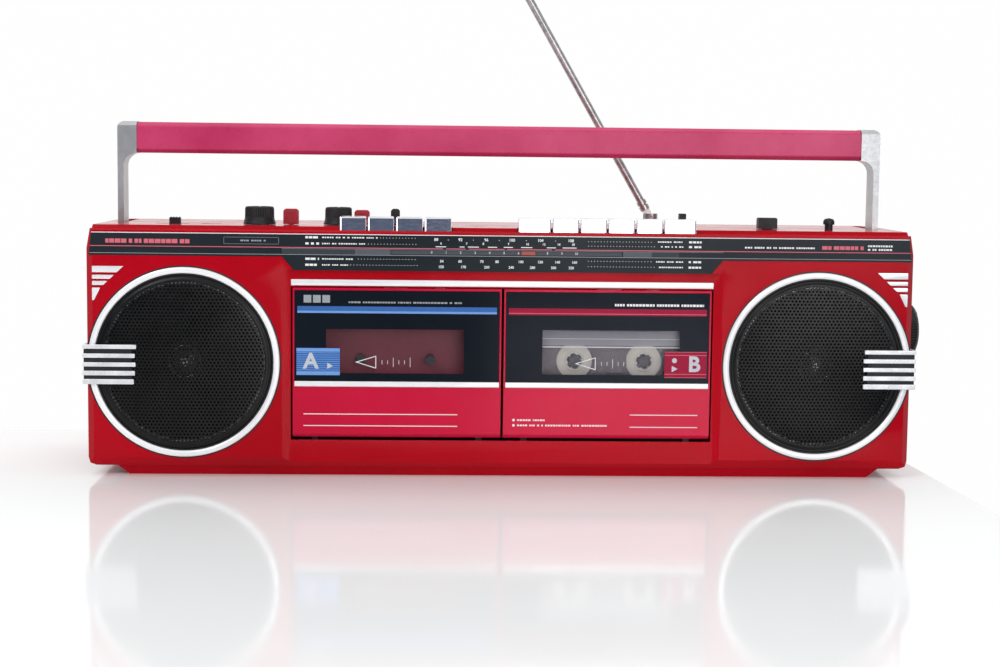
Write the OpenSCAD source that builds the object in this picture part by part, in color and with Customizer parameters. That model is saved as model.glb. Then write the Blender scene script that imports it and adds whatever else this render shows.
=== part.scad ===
// Twin-deck portable stereo radio-cassette recorder.
// X runs to the right, the front faces -Y, Z is up; the origin lies under the
// middle of the cabinet at the level it stands on. All lengths are millimetres.

/* [Cabinet] */
// Width of the cabinet over its end walls
body_w = 500; // [480:1:520]
// Depth of the cabinet without knobs and trim
body_d = 130; // [126:1:140]
// Height of the front top edge
edge_h = 149.5; // [149:0.5:151]
// Rise from the front top edge to the control deck
deck_step = 2; // [1.5:0.5:2.5]
// Wall thickness of both cabinet halves
wall = 2.5; // [2.2:0.1:3]
// Height of the plinth the cabinet stands on
plinth_h = 6; // [5:0.5:7]

/* [Speakers] */
// Distance of each speaker axis from the middle
speaker_x = 191.7; // [190:0.5:193]
// Height of the speaker axes
speaker_z = 69.4; // [68:0.2:71]
// Outer radius of the bright speaker ring
ring_r = 57.4; // [56.5:0.1:57.6]
// Radius of the grille opening
grille_r = 53; // [52:0.5:53.5]

/* [Cassette decks] */
// Width of each cassette door
door_w = 125.8; // [124:0.2:125.8]
// Gap between the two doors
door_gap = 1.6; // [1.2:0.2:2.4]
// Lower edge of the doors
door_z = 26.5; // [26:0.5:27]
// Upper edge of the doors
door_top = 115; // [114.5:0.5:115.3]
// Middle of deck A from the middle of the cabinet
deck_a_x = -65; // [-66:0.5:-64]
// Middle of deck B from the middle of the cabinet
deck_b_x = 65.5; // [64.5:0.5:66]
// Height of the reel axes
reel_z = 70.9; // [70:0.1:72]
// Opening angle the hinges are drawn at
door_open = 0; // [0:1:32]

/* [Handle] */
// Half width over the handle arms
handle_x = 239.4; // [239:0.2:240.6]
// Top of the grip above the stand level
handle_top = 213.8; // [210:0.2:216]
// Height of the grip bar
grip_h = 19.2; // [18:0.2:20]
// Depth of the grip bar and the arms
grip_d = 18; // [16:0.5:18]

/* [Antenna] */
// Lean of the rod from upright at rest
rod_lean = 30; // [0:1:40]
// Length of the outer rod section
rod_l = 192; // [150:1:200]
// Outer radius of the outer rod section
rod_r = 2.6; // [2.4:0.1:2.8]

/* [Controls] */
// Height of a cassette key above the control deck edge
key_rise = 8.3; // [7:0.1:9]
// Radius of the volume knob
knob_r = 10; // [9:0.1:10.5]
// Radius of the tuning knob on the right end
tuning_r = 17; // [15:0.5:18]

/* [Quality] */
// Facets of curved surfaces
curve_steps = 96; // [64:16:128]

/* [Hidden] */
$fn = curve_steps;
half_w = body_w / 2;
front_y = -body_d / 2;
back_y = body_d / 2;
deck_z = edge_h + deck_step;
split_y = 5;
recess = 2;
mid_y = front_y + recess;
bevel_z = 11.5;
panel_lo = 133.5;
panel_hi = 147.5;
panel_drop = 125.4;
panel_x = half_w - 1.8;
panel_slant = 1.6;
panel_t = 1.2;
dial_slot_lo = 135.3;
dial_slot_hi = 138.3;
bay_x = 127.8;
bay_lo = 22.4;
bay_hi = 115.4;
bar_lo = 116.2;
bar_hi = 120;
door_front = mid_y - 1.5;
door_t = 4;
lip_d = 2;
lip_h = 2.2;
hinge_y = door_front + door_t + 1;
hinge_z = door_z + 2;
hinge_r = 1.5;
win_lo = 58.4;
win_hi = 113.6;
strip_lo = 55;
rim = 1;
pane_t = 1.6;
reel_gap = 42.5;
tape_w = 100.4;
tape_h = 63.8;
tape_t = 8.7;
tape_top = reel_z + 33.5;
tape_lo = tape_top - tape_h;
tape_y = mid_y + 8.8;
holder_back = tape_y + tape_t / 2 + 3.6;
plate_y = holder_back + 7;
plate_t = 1.6;
spindle_r = 2.9;
fit = 0.05;
gap = 0.3;
key_y = front_y + 3;
key_d = 15;
key_top = edge_h + key_rise;
key_low = key_top - 12;
key_x_a = [-98.6, -81.8, -64.9, -47.7];
key_w_a = [16.2, 16.2, 16.5, 16.6];
key_x_b = [8.9, 29.7, 46.6, 63.5, 80.5, 97.4];
key_w_b = [20, 16.2, 16.2, 16.2, 16.2, 19.7];
pivot_y = -4;
pivot_z = deck_z - 4;
pivot_r = 3;
arm_t = 3.7;
arm_round = 4;
arm_well = 1;
fold_y = 41;
corner_w = 12;
knob_y = -30;
vol_x = -149.6;
tone_x = -101;
tab_a_x = -130.2;
tab_b_x = -86.5;
lever_x = -66.2;
band_x = -201.4;
spare_x = -179.2;
dub_x = 165.4;
pin_x = 204.3;
mode_x = 113.4;
mode_y = -22;
slider_y = -30;
tuning_y = -20;
tuning_z = 88;
antenna_x = 104.5;
antenna_y = back_y + 6;
antenna_z = 154.2;
collar_r = 3.3;
clip_zs = [56.1, 61.4, 66.7, 72, 77.4];
clip_heights = [3.1, 2.8, 2.6, 2.6, 2.6];
clip_reach = 219.8;
clip_side_y = front_y + 16;
trim_zs = [106.4, 115.6, 119.3, 123.2];
trim_tops = [114, 118, 121.7, 127];
screw_spots = [[-225, 132], [225, 132], [-225, 22], [225, 22], [-128, 138], [62, 138]];
battery_x = 118;
battery_lo = 16;
battery_hi = 74;
battery_y = back_y - 36;
battery_mid = -30;
inlet_x = 176;
inlet_z = 36;

// ---- drawing helpers ----

// Extrudes a drawing in X and Z from y0 to y1
module along_y(y0, y1) {
  translate([0, y1, 0])
    rotate([90, 0, 0])
      linear_extrude(height = y1 - y0)
        children();
}

// Extrudes a drawing in Y and Z from x0 to x1
module along_x(x0, x1) {
  translate([x0, 0, 0])
    rotate([90, 0, 90])
      linear_extrude(height = x1 - x0)
        children();
}

// Box given by its two opposite corners
module block(a, b) {
  translate(a)
    cube([b[0] - a[0], b[1] - a[1], b[2] - a[2]]);
}

// Round bar along Y
module bar_y(r, x, z, y0, y1) {
  translate([x, y0, z])
    rotate([-90, 0, 0])
      cylinder(h = y1 - y0, r = r);
}

// Round bar along X
module bar_x(r, y, z, x0, x1) {
  translate([x0, y, z])
    rotate([0, 90, 0])
      cylinder(h = x1 - x0, r = r);
}

// Solid of revolution about a Y axis; the drawing holds radius and depth
module turned_y(x, z, y0) {
  translate([x, y0, z])
    rotate([-90, 0, 0])
      rotate_extrude()
        children();
}

// Both mirror images of a right-hand piece
module both_ends() {
  children();
  mirror([1, 0, 0])
    children();
}

// ---- cabinet ----

// Front outline of the cabinet, drawn inset by s
module front_outline(s) {
  w = half_w - s;
  lo = plinth_h + s;
  c = 5;
  polygon([
    [-w + c, lo], [w - c, lo], [w - 1.4, lo + 1.4], [w, lo + c],
    [w, deck_z - 14], [w - 3, deck_z - s], [-w + 3, deck_z - s], [-w, deck_z - 14],
    [-w, lo + c], [-w + 1.4, lo + 1.4]
  ]);
}

// End outline of the cabinet, drawn inset by s
module end_outline(s) {
  polygon([
    [front_y + s, bevel_z + s / 2], [front_y + 4 + s, plinth_h + s],
    [back_y - 4 - s, plinth_h + s], [back_y - s, bevel_z + s / 2],
    [back_y - s, deck_z - 6 - s / 2], [back_y - 18 - s / 2, deck_z - s],
    [front_y + 9 + s, deck_z - s], [front_y + 8 + s, edge_h - s],
    [front_y + 1 + s, edge_h - s], [front_y + s, edge_h - 1 - s]
  ]);
}

// Plan outline of the cabinet, drawn inset by s
module plan_outline(s) {
  w = half_w - s;
  c = 4;
  polygon([
    [-w + c, front_y + s], [w - c, front_y + s], [w, front_y + s + c],
    [w, back_y - s - c], [w - c, back_y - s], [-w + c, back_y - s],
    [-w, back_y - s - c], [-w, front_y + s + c]
  ]);
}

// Whole cabinet volume, drawn inset by s
module cabinet_volume(s) {
  intersection() {
    along_y(front_y - 1, back_y + 1)
      front_outline(s);
    along_x(-half_w - 1, half_w + 1)
      end_outline(s);
    linear_extrude(height = deck_z + 10)
      plan_outline(s);
  }
}

// Plinth under the cabinet, solid at the bottom and open above
module plinth_volume() {
  difference() {
    intersection() {
      along_y(front_y + 5, back_y - 5)
        polygon([[-226, 0], [226, 0], [234, plinth_h + 1], [-234, plinth_h + 1]]);
      along_x(-half_w, half_w)
        polygon([
          [front_y + 8, 0], [back_y - 8, 0],
          [back_y - 5, plinth_h + 1], [front_y + 5, plinth_h + 1]
        ]);
    }
    block([-222, front_y + 12, wall], [222, back_y - 12, plinth_h + 2]);
  }
}

// Hollow cabinet without any opening
module cabinet_shell() {
  difference() {
    union() {
      cabinet_volume(0);
      plinth_volume();
    }
    cabinet_volume(wall);
    block([-222, front_y + 12, wall], [222, back_y - 12, plinth_h + 4]);
  }
}

// Openings in the control deck of the cabinet
module deck_openings() {
  block([key_x_a[0] - gap, key_y - gap, deck_z - 20],
    [key_x_a[3] + key_w_a[3] + gap, key_y + key_d + gap, deck_z + 1]);
  block([key_x_b[0] - gap, key_y - gap, deck_z - 20],
    [key_x_b[5] + key_w_b[5] + gap, key_y + key_d + gap, deck_z + 1]);
  for (x = [vol_x, tone_x])
    translate([x, knob_y, deck_z - 10])
      cylinder(h = 12, r = pivot_r + fit);
  for (x = [tab_a_x, tab_b_x])
    block([x - 1.5, knob_y - 14, deck_z - 10], [x + 1.5, knob_y + 14, deck_z + 1]);
  block([lever_x - 8, -19, deck_z - 10], [lever_x + 8, -16, deck_z + 1]);
  block([-213.2, slider_y - 2.5, deck_z - 10], [-192.4, slider_y + 2.5, deck_z + 1]);
  block([spare_x - 6, slider_y - 2.5, deck_z - 10], [spare_x + 6, slider_y + 2.5, deck_z + 1]);
  block([dub_x - 8, slider_y - 1.5, deck_z - 10], [dub_x + 8, slider_y + 1.5, deck_z + 1]);
  translate([pin_x, slider_y, deck_z - 10])
    cylinder(h = 12, r = 2.5 + fit);
  block([mode_x - 1, mode_y - 6, deck_z - 10], [mode_x + 1, mode_y + 6, deck_z + 1]);
  for (x = [-16, -12])
    translate([x, slider_y, deck_z - 1])
      cylinder(h = 2, r = 1.6);
  both_ends()
    block([handle_x - arm_t - arm_well, pivot_y - grip_d / 2 - arm_well, deck_z - 6],
      [handle_x + arm_well, fold_y, deck_z + 1]);
}

// Openings in the front of the cabinet
module front_openings() {
  for (side = [-1, 1]) {
    bar_y(grille_r, side * speaker_x, speaker_z, front_y - 1, front_y + 6);
    difference() {
      bar_y(ring_r + 0.6, side * speaker_x, speaker_z, front_y - 1, front_y + 1.2);
      bar_y(grille_r + 0.5, side * speaker_x, speaker_z, front_y - 2, front_y + 2);
    }
  }
  block([-bay_x, front_y - 1, bay_lo], [bay_x, front_y + 8, bay_hi]);
  translate([0, 0, -1])
    linear_extrude(height = panel_drop + 1)
      polygon([
        [-133, front_y - 1], [133, front_y - 1], [133, front_y],
        [bay_x, mid_y], [-bay_x, mid_y], [-133, front_y]
      ]);
  along_y(front_y - 1, front_y + panel_t)
    dial_outline(0);
  block([-70, front_y - 1, dial_slot_lo - 1], [74, front_y + 4, dial_slot_hi + 1]);
}

// Outline of the dial panel, inset by s
module dial_outline(s) {
  polygon([
    [-panel_x + s, panel_lo + s], [-133 + s, panel_lo + s], [-126 + s, panel_drop + s],
    [126 - s, panel_drop + s], [133 - s, panel_lo + s], [panel_x - s, panel_lo + s],
    [panel_x - panel_slant - s, panel_hi - s], [-panel_x + panel_slant + s, panel_hi - s]
  ]);
}

// Bosses inside the end walls that carry the handle pins
module pivot_bosses() {
  both_ends()
    block([handle_x + 2, pivot_y - 8, pivot_z - 9],
      [half_w - wall + 0.5, pivot_y + 8, deck_z - 1]);
}

module front_cabinet() {
  color("firebrick")
    difference() {
      union() {
        intersection() {
          cabinet_shell();
          block([-half_w - 1, front_y - 1, -1], [half_w + 1, split_y, deck_z + 1]);
        }
        intersection() {
          cabinet_volume(1);
          pivot_bosses();
        }
      }
      deck_openings();
      front_openings();
      both_ends()
        bar_x(pivot_r + fit, pivot_y, pivot_z, handle_x - 1, half_w - wall + 0.2);
      bar_x(4 + fit, tuning_y, tuning_z, half_w - 6, half_w + 1);
    }
}

// Battery box inside the rear cabinet, open to the back
module battery_box() {
  block([battery_mid - battery_x, battery_y, battery_lo],
    [battery_mid + battery_x, back_y - wall, battery_hi]);
}

// Clear space of the battery box
module battery_space() {
  block([battery_mid - battery_x + 2, battery_y + 2, battery_lo + 2],
    [battery_mid + battery_x - 2, back_y + 1, battery_hi - 2]);
}

// Seat of the antenna behind the rear top edge
module antenna_seat() {
  block([antenna_x - 9, back_y - 1, deck_z - 24], [antenna_x + 9, antenna_y, deck_z - 1]);
  translate([antenna_x, antenna_y, deck_z - 24])
    cylinder(h = 23, r = 9);
}

module rear_cabinet() {
  color("firebrick")
    difference() {
      union() {
        intersection() {
          cabinet_shell();
          block([-half_w - 1, split_y, -1], [half_w + 1, back_y + 1, deck_z + 1]);
        }
        battery_box();
        antenna_seat();
      }
      deck_openings();
      battery_space();
      translate([antenna_x, antenna_y, deck_z - 12])
        cylinder(h = 12, r = 4 + fit);
      for (s = screw_spots) {
        bar_y(3.4, s[0], s[1], back_y - 1.2, back_y + 1);
        bar_y(1.7, s[0], s[1], back_y - 5, back_y + 1);
      }
      block([inlet_x - 13, back_y - 4, inlet_z - 8], [inlet_x + 13, back_y + 1, inlet_z + 8]);
    }
}

module battery_door() {
  x0 = battery_mid - battery_x + 2.4;
  x1 = battery_mid + battery_x - 2.4;
  color("firebrick")
    difference() {
      block([x0, back_y - 2.2, battery_lo + 2.4], [x1, back_y - 0.2, battery_hi - 2.4]);
      for (z = [30 : 8 : 62])
        block([x0 + 10, back_y - 0.8, z], [x0 + 40, back_y + 1, z + 3]);
    }
}

module mains_inlet() {
  color("black")
    difference() {
      block([inlet_x - 12.9, back_y - 16, inlet_z - 7.9],
        [inlet_x + 12.9, back_y - 0.4, inlet_z + 7.9]);
      for (x = [-4.3, 4.3])
        bar_y(4.2, inlet_x + x, inlet_z, back_y - 12, back_y + 1);
      block([inlet_x - 4.3, back_y - 12, inlet_z - 2.6],
        [inlet_x + 4.3, back_y + 1, inlet_z + 2.6]);
    }
}

module cabinet_screws() {
  color("dimgray")
    for (s = screw_spots)
      difference() {
        union() {
          bar_y(3, s[0], s[1], back_y - 1.2, back_y - 0.1);
          bar_y(1.5, s[0], s[1], back_y - 12, back_y - 1);
        }
        block([s[0] - 2, back_y - 0.7, s[1] - 0.3], [s[0] + 2, back_y + 1, s[1] + 0.3]);
        block([s[0] - 0.3, back_y - 0.7, s[1] - 2], [s[0] + 0.3, back_y + 1, s[1] + 2]);
      }
}

// ---- dial ----

module dial_panel() {
  color("darkslategray")
    difference() {
      along_y(front_y + 0.1, front_y + panel_t)
        dial_outline(0.1);
      block([-68, front_y - 1, dial_slot_lo], [72, front_y + 2, dial_slot_hi]);
    }
}

module dial_pointer() {
  color("orangered") {
    block([10.7, front_y + 0.5, dial_slot_lo + gap], [19.2, front_y + 5, dial_slot_hi - gap]);
    block([7, front_y + 5, dial_slot_lo - 2], [23, front_y + 6.5, dial_slot_hi + 1.5]);
  }
}

module tuning_knob() {
  color("black")
    union() {
      translate([half_w + 0.4, tuning_y, tuning_z])
        rotate([0, 90, 0])
          rotate_extrude()
            polygon([
              [0, 0], [tuning_r, 0], [tuning_r, 8], [tuning_r - 0.6, 10],
              [tuning_r - 3, 12], [tuning_r - 8, 13.2], [0, 13.8]
            ]);
      bar_x(4, tuning_y, tuning_z, half_w - 14, half_w + 2);
    }
}

// ---- speakers ----

module speaker_rings() {
  color("silver")
    for (side = [-1, 1])
      turned_y(side * speaker_x, speaker_z, front_y)
        polygon([
          [grille_r + 0.6, 1.2], [ring_r, 1.2], [ring_r, -0.6], [ring_r - 0.8, -1.3],
          [grille_r + 1.2, -1.5], [grille_r + 0.6, -1]
        ]);
}

module speaker_grilles() {
  color("black")
    for (side = [-1, 1])
      turned_y(side * speaker_x, speaker_z, front_y)
        polygon([
          [0, -2.4], [18, -2.2], [34, -1.5], [44, -0.8], [grille_r - 4, 0],
          [grille_r - gap, 0], [grille_r - gap, 2.4], [grille_r - 1.3, 2.4],
          [grille_r - 1.3, 1], [44, 0.2], [34, -0.5], [18, -1.2], [0, -1.4]
        ]);
}

module speaker_clips() {
  color("silver")
    both_ends()
      difference() {
        union() {
          for (i = [0 : 4])
            block([clip_reach, front_y - 3.4, clip_zs[i]],
              [half_w + 2, clip_side_y, clip_zs[i] + clip_heights[i]]);
          block([clip_reach + 2, front_y - 2.8, clip_zs[0] + 0.4],
            [half_w + 1.4, clip_side_y - 0.6, clip_zs[4] + 2.2]);
        }
        block([clip_reach - 1, front_y - 1.8, clip_zs[0] - 1],
          [half_w, clip_side_y + 1, clip_zs[4] + 4]);
      }
}

module speaker_drivers() {
  color("dimgray")
    both_ends()
      intersection() {
        turned_y(speaker_x, speaker_z, front_y)
          polygon([
            [0, 28.5], [25, 28.5], [25, 18.5], [34, 16.5], [50, 4.5], [54.5, 4.5],
            [54.5, wall], [47.4, wall], [47.4, 4.5], [32, 14.5], [10, 16.5], [10, 26.5],
            [0, 26.5]
          ]);
        block([speaker_x - 60, front_y, 0], [half_w - wall - 4.5, split_y, deck_z]);
      }
}

module speaker_cones() {
  color("black")
    for (side = [-1, 1])
      turned_y(side * speaker_x, speaker_z, front_y)
        polygon([
          [0, 7.1], [6, 8.1], [11, 10.5], [14, 12.5], [40, 3.9], [43, 2.5], [47, 3.1],
          [47, 3.7], [43, 3.3], [40, 4.7], [14, 13.3], [9, 13.3], [9, 24.5], [8, 24.5],
          [8, 10.5], [5, 9.1], [0, 8.1]
        ]);
}

// ---- trims ----

module corner_trims() {
  color("silver")
    both_ends()
      for (i = [0 : 3]) {
        inner = 227.8 + (126.6 - trim_tops[i]) * 1.06;
        low = inner + (trim_tops[i] - trim_zs[i]) * 1.06;
        along_y(front_y - 0.8, front_y)
          polygon([
            [inner, trim_tops[i]], [half_w - 4, trim_tops[i]],
            [half_w - 4, trim_zs[i]], [min(low, half_w - 5), trim_zs[i]]
          ]);
      }
}

module deck_trim_bar() {
  color("silver")
    along_x(-bay_x + 0.2, bay_x - 0.2)
      polygon([
        [mid_y, bar_lo], [mid_y, bar_hi], [mid_y - 0.8, bar_hi],
        [mid_y - 1.4, bar_hi - 0.8], [mid_y - 1.4, bar_lo + 0.8], [mid_y - 0.8, bar_lo]
      ]);
}

// ---- cassette doors ----

// Left edge of a door; deck -1 is A and deck 1 is B
function door_x(deck) = deck < 0 ? -door_w - door_gap / 2 : door_gap / 2;
function deck_x(deck) = deck < 0 ? deck_a_x : deck_b_x;
// Left edges of the two lugs that carry the hinge pins of a door
function hinge_lugs(deck) = [door_x(deck) + 11, door_x(deck) + door_w - 15];

// Turns a door assembly about its hinge
module swung() {
  translate([0, hinge_y, hinge_z])
    rotate([door_open, 0, 0])
      translate([0, -hinge_y, -hinge_z])
        children();
}

module door_frame(deck) {
  x0 = door_x(deck);
  x1 = x0 + door_w;
  color("firebrick")
    swung()
      difference() {
        union() {
          along_x(x0, x1)
            polygon([
              [door_front, door_z], [door_front + lip_d, door_z - lip_h],
              [door_front + door_t, door_z - lip_h], [door_front + door_t, door_top],
              [door_front, door_top]
            ]);
          for (x = [x0 + 5, x1 - 17])
            bar_x(hinge_r, hinge_y, hinge_z, x, x + 12);
          for (x = [x0 + 5, x1 - 9])
            block([x, door_front + door_t - 1, hinge_z - 1.2], [x + 4, hinge_y, hinge_z + 1.2]);
        }
        for (x = hinge_lugs(deck))
          difference() {
            block([x - 0.8, door_front + lip_d, door_z - lip_h - 1],
              [x + 4.8, door_front + door_t + 1, hinge_z + 5]);
            bar_x(hinge_r, hinge_y, hinge_z, x - 1, x + 5);
          }
        block([x0 + rim, door_front - 1, strip_lo],
          [x1 - rim, door_front + pane_t + 0.4, win_hi]);
        block([x0 + 4, door_front, win_lo + 3],
          [x1 - 4, door_front + door_t + 1, win_hi - 3]);
      }
}

module door_window(deck) {
  x0 = door_x(deck) + rim + 0.1;
  x1 = x0 + door_w - 2 * rim - 0.2;
  color("darkslategray")
    swung()
      block([x0, door_front + 0.2, win_lo + 0.1], [x1, door_front + 0.3 + pane_t, win_hi - 0.1]);
}

module door_strip(deck) {
  x0 = door_x(deck) + rim + 0.1;
  x1 = x0 + door_w - 2 * rim - 0.2;
  color("silver")
    swung()
      along_x(x0, x1)
        polygon([
          [door_front + pane_t + 0.3, strip_lo + 0.1], [door_front + pane_t + 0.3, win_lo],
          [door_front, win_lo], [door_front - 0.5, win_lo - 0.6],
          [door_front - 0.5, strip_lo + 0.7], [door_front, strip_lo + 0.1]
        ]);
}

module cassette_holder(deck) {
  cx = deck_x(deck);
  y0 = door_front + door_t;
  x0 = cx - tape_w / 2 - 2.2;
  x1 = cx + tape_w / 2 + 2.2;
  color("dimgray")
    swung()
      difference() {
        block([x0, y0, tape_lo - 1.6], [x1, holder_back, 108]);
        block([x0 + 1.2, y0 - 1, tape_lo - 0.4], [x1 - 1.2, holder_back - 1.2, 109]);
        for (s = [-1, 1])
          bar_y(9, cx + s * reel_gap / 2, reel_z, y0 - 1, holder_back + 1);
        block([cx - 34, y0 - 1, tape_top - 13], [cx + 34, holder_back + 1, 109]);
      }
}

// ---- cassette ----

module cassette_shell() {
  cx = deck_b_x;
  y0 = tape_y - tape_t / 2;
  y1 = tape_y + tape_t / 2;
  color("thistle")
    swung()
      difference() {
        union() {
          block([cx - tape_w / 2, y0, tape_lo], [cx + tape_w / 2, y1, tape_top]);
          along_y(y0 - 1.5, y1 + 1.5)
            polygon([
              [cx - 33, tape_top], [cx + 33, tape_top],
              [cx + 31, tape_top - 15], [cx - 31, tape_top - 15]
            ]);
        }
        block([cx - tape_w / 2 + 1.2, y0 + 1.4, tape_lo + 1.2],
          [cx + tape_w / 2 - 1.2, y1 - 1.4, tape_top - 1.2]);
        for (s = [-1, 1])
          bar_y(6, cx + s * reel_gap / 2, reel_z, y0 - 2, y1 + 2);
        for (x = [-22, 0, 22])
          block([cx + x - 7, y0 + 1.4, tape_top - 4], [cx + x + 7, y1 - 1.4, tape_top + 1]);
      }
}

// Toothed reel hub of the cassette; side is -1 for the left reel
module cassette_hub(side) {
  cx = deck_b_x + side * reel_gap / 2;
  y0 = tape_y - tape_t / 2 + 1.7;
  y1 = tape_y + tape_t / 2 - 1.7;
  color("ivory")
    swung()
      difference() {
        union() {
          bar_y(11, cx, reel_z, y0, y1);
          bar_y(5.6, cx, reel_z, y0 - 1.2, y1 + 1.2);
        }
        difference() {
          bar_y(4.9, cx, reel_z, y0 - 2, y1 + 2);
          for (a = [0 : 60 : 300])
            translate([cx, 0, reel_z])
              rotate([0, a, 0])
                block([4.1, y0 + 0.4, -0.6], [6, y1 - 0.4, 0.6]);
        }
      }
}

// ---- tape mechanism ----

// Lug on the mechanism plate around the hinge pin of a door
module hinge_lug(x) {
  bar_x(2.4, hinge_y, hinge_z, x, x + 4);
  block([x, hinge_y, hinge_z - 2.4], [x + 4, hinge_y + 5, hinge_z + 1]);
  block([x, hinge_y + 3, 19], [x + 4, hinge_y + 5, hinge_z]);
}

module mechanism_plate() {
  color("silver")
    difference() {
      union() {
        block([-124, plate_y, wall], [124, plate_y + plate_t, 124]);
        block([-124, hinge_y + 3, 19], [124, plate_y, 20.6]);
        for (deck = [-1, 1])
          for (x = hinge_lugs(deck))
            hinge_lug(x);
      }
      for (deck = [-1, 1])
        for (x = hinge_lugs(deck))
          bar_x(hinge_r + fit, hinge_y, hinge_z, x - 1, x + 5);
      for (deck = [-1, 1])
        for (s = [-1, 1])
          bar_y(spindle_r + fit, deck_x(deck) + s * reel_gap / 2, reel_z,
            plate_y - 1, plate_y + plate_t + 1);
      for (deck = [-1, 1])
        bar_y(1.3 + fit, deck_x(deck), tape_top + 3, plate_y - 1, plate_y + plate_t + 1);
    }
}

module spindle(deck, side) {
  cx = deck_x(deck) + side * reel_gap / 2;
  color("white")
    union() {
      bar_y(spindle_r, cx, reel_z, tape_y - 3, plate_y + 8);
      bar_y(7.5, cx, reel_z, plate_y - 3.4, plate_y - 0.6);
      bar_y(12, cx, reel_z, plate_y + plate_t + 0.6, plate_y + plate_t + 3);
    }
}

module flywheel(deck) {
  cx = deck_x(deck);
  color("lightgray")
    union() {
      bar_y(1.3, cx, tape_top + 3, tape_y + 1, plate_y + 14);
      bar_y(17, cx, tape_top + 3, plate_y + plate_t + 6.6, plate_y + plate_t + 12);
    }
}

module tape_heads() {
  color("silver")
    for (deck = [-1, 1]) {
      cx = deck_x(deck);
      block([cx - 7, tape_y - 3, tape_top + 6.5], [cx + 7, plate_y, tape_top + 15]);
      block([cx + 24, tape_y - 3, tape_top + 3.5], [cx + 30, plate_y, tape_top + 13]);
    }
}

module motor() {
  color("lightgray") {
    bar_y(17, 0, 46, plate_y + plate_t, plate_y + plate_t + 30);
    bar_y(5, 0, 46, plate_y + plate_t + 30, plate_y + plate_t + 32);
  }
}

module main_board() {
  color("darkgreen") {
    block([-110, battery_y, battery_hi], [80, battery_y + 1.6, 136]);
    block([-80, battery_y - 10, 100], [-40, battery_y, 104]);
    block([20, battery_y - 8, 110], [34, battery_y, 124]);
    block([-20, battery_y - 14, 88], [-8, battery_y, 100]);
    block([50, battery_y - 10, 92], [72, battery_y, 98]);
  }
}

// ---- keys, knobs and sliders ----

module piano_key(x, w) {
  color("gainsboro")
    difference() {
      intersection() {
        along_x(x, x + w - 0.5)
          polygon([
            [key_y, key_low], [key_y + key_d, key_low], [key_y + key_d, key_top - 1],
            [key_y + key_d - 1, key_top], [key_y + 0.7, key_top], [key_y, key_top - 0.7]
          ]);
        along_y(key_y - 1, key_y + key_d + 1)
          polygon([
            [x, key_low], [x + w - 0.5, key_low], [x + w - 0.5, key_top - 0.6],
            [x + w - 1.1, key_top], [x + 0.6, key_top], [x, key_top - 0.6]
          ]);
      }
      block([x + 1.4, key_y + 1.4, key_low - 1], [x + w - 1.9, key_y + key_d - 1.4, key_top - 3]);
    }
}

module round_knob(x, r) {
  color("black")
    translate([x, knob_y, deck_z])
      difference() {
        union() {
          rotate_extrude()
            polygon([
              [0, 0.3], [r, 0.3], [r - 0.7, 4], [r - 1.1, 10.4], [r - 1.9, 11.2], [0, 11.2]
            ]);
          translate([0, 0, -12])
            cylinder(h = 13, r = pivot_r);
        }
        block([-0.5, 3, 10.7], [0.5, r, 12]);
      }
}

module red_slider(x, tall) {
  color("crimson") {
    block([x - 4.7, knob_y - 3, deck_z + 0.3], [x + 4.7, knob_y + 3, deck_z + tall]);
    block([x - 1.2, knob_y - 3, deck_z - 6], [x + 1.2, knob_y + 3, deck_z + 0.3]);
  }
}

module band_slider() {
  color("black") {
    block([band_x - 3.4, slider_y - 2.2, deck_z - 6], [band_x + 3.4, slider_y + 2.2, deck_z + 4]);
  }
}

module monitor_lever() {
  color("black") {
    block([lever_x - 1.5, -18.7, deck_z - 6], [lever_x + 1.5, -16.3, deck_z + 5]);
    along_y(-20.3, -14.7)
      polygon([
        [lever_x - 2.8, deck_z + 5], [lever_x + 2.8, deck_z + 5],
        [lever_x + 2.8, deck_z + 8.8], [lever_x + 1.6, deck_z + 10],
        [lever_x - 1.6, deck_z + 10], [lever_x - 2.8, deck_z + 8.8]
      ]);
  }
}

module dubbing_slider() {
  color("black") {
    block([dub_x - 5.9, slider_y - 4, deck_z + 0.3], [dub_x + 5.9, slider_y + 4, deck_z + 7.3]);
    block([dub_x - 3, slider_y - 1.2, deck_z - 6], [dub_x + 3, slider_y + 1.2, deck_z + 0.3]);
  }
}

module reset_pin() {
  color("black")
    translate([pin_x, slider_y, 0])
      rotate_extrude()
        polygon([
          [0, deck_z - 8], [2.5, deck_z - 8], [2.5, deck_z + 3.2], [3.5, deck_z + 3.4],
          [3.5, deck_z + 5.4], [2.6, deck_z + 6.8], [0, deck_z + 7.4]
        ]);
}

module mode_switch() {
  color("black") {
    block([mode_x - 2.2, mode_y - 2.5, deck_z + 0.3], [mode_x + 2.2, mode_y + 2.5, deck_z + 9]);
    block([mode_x - 0.8, mode_y - 2.5, deck_z - 5], [mode_x + 0.8, mode_y + 2.5, deck_z + 0.3]);
  }
}

// ---- handle ----

module handle_grip() {
  lo = handle_top - grip_h;
  y0 = pivot_y - grip_d / 2;
  y1 = pivot_y + grip_d / 2;
  color("palevioletred")
    along_x(-handle_x + corner_w, handle_x - corner_w)
      polygon([
        [y0 + 3, lo], [y1 - 3, lo], [y1, lo + 2.4], [y1, handle_top - 2.4],
        [y1 - 3, handle_top], [y0 + 3, handle_top], [y0, handle_top - 2.4], [y0, lo + 2.4]
      ]);
}

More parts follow.
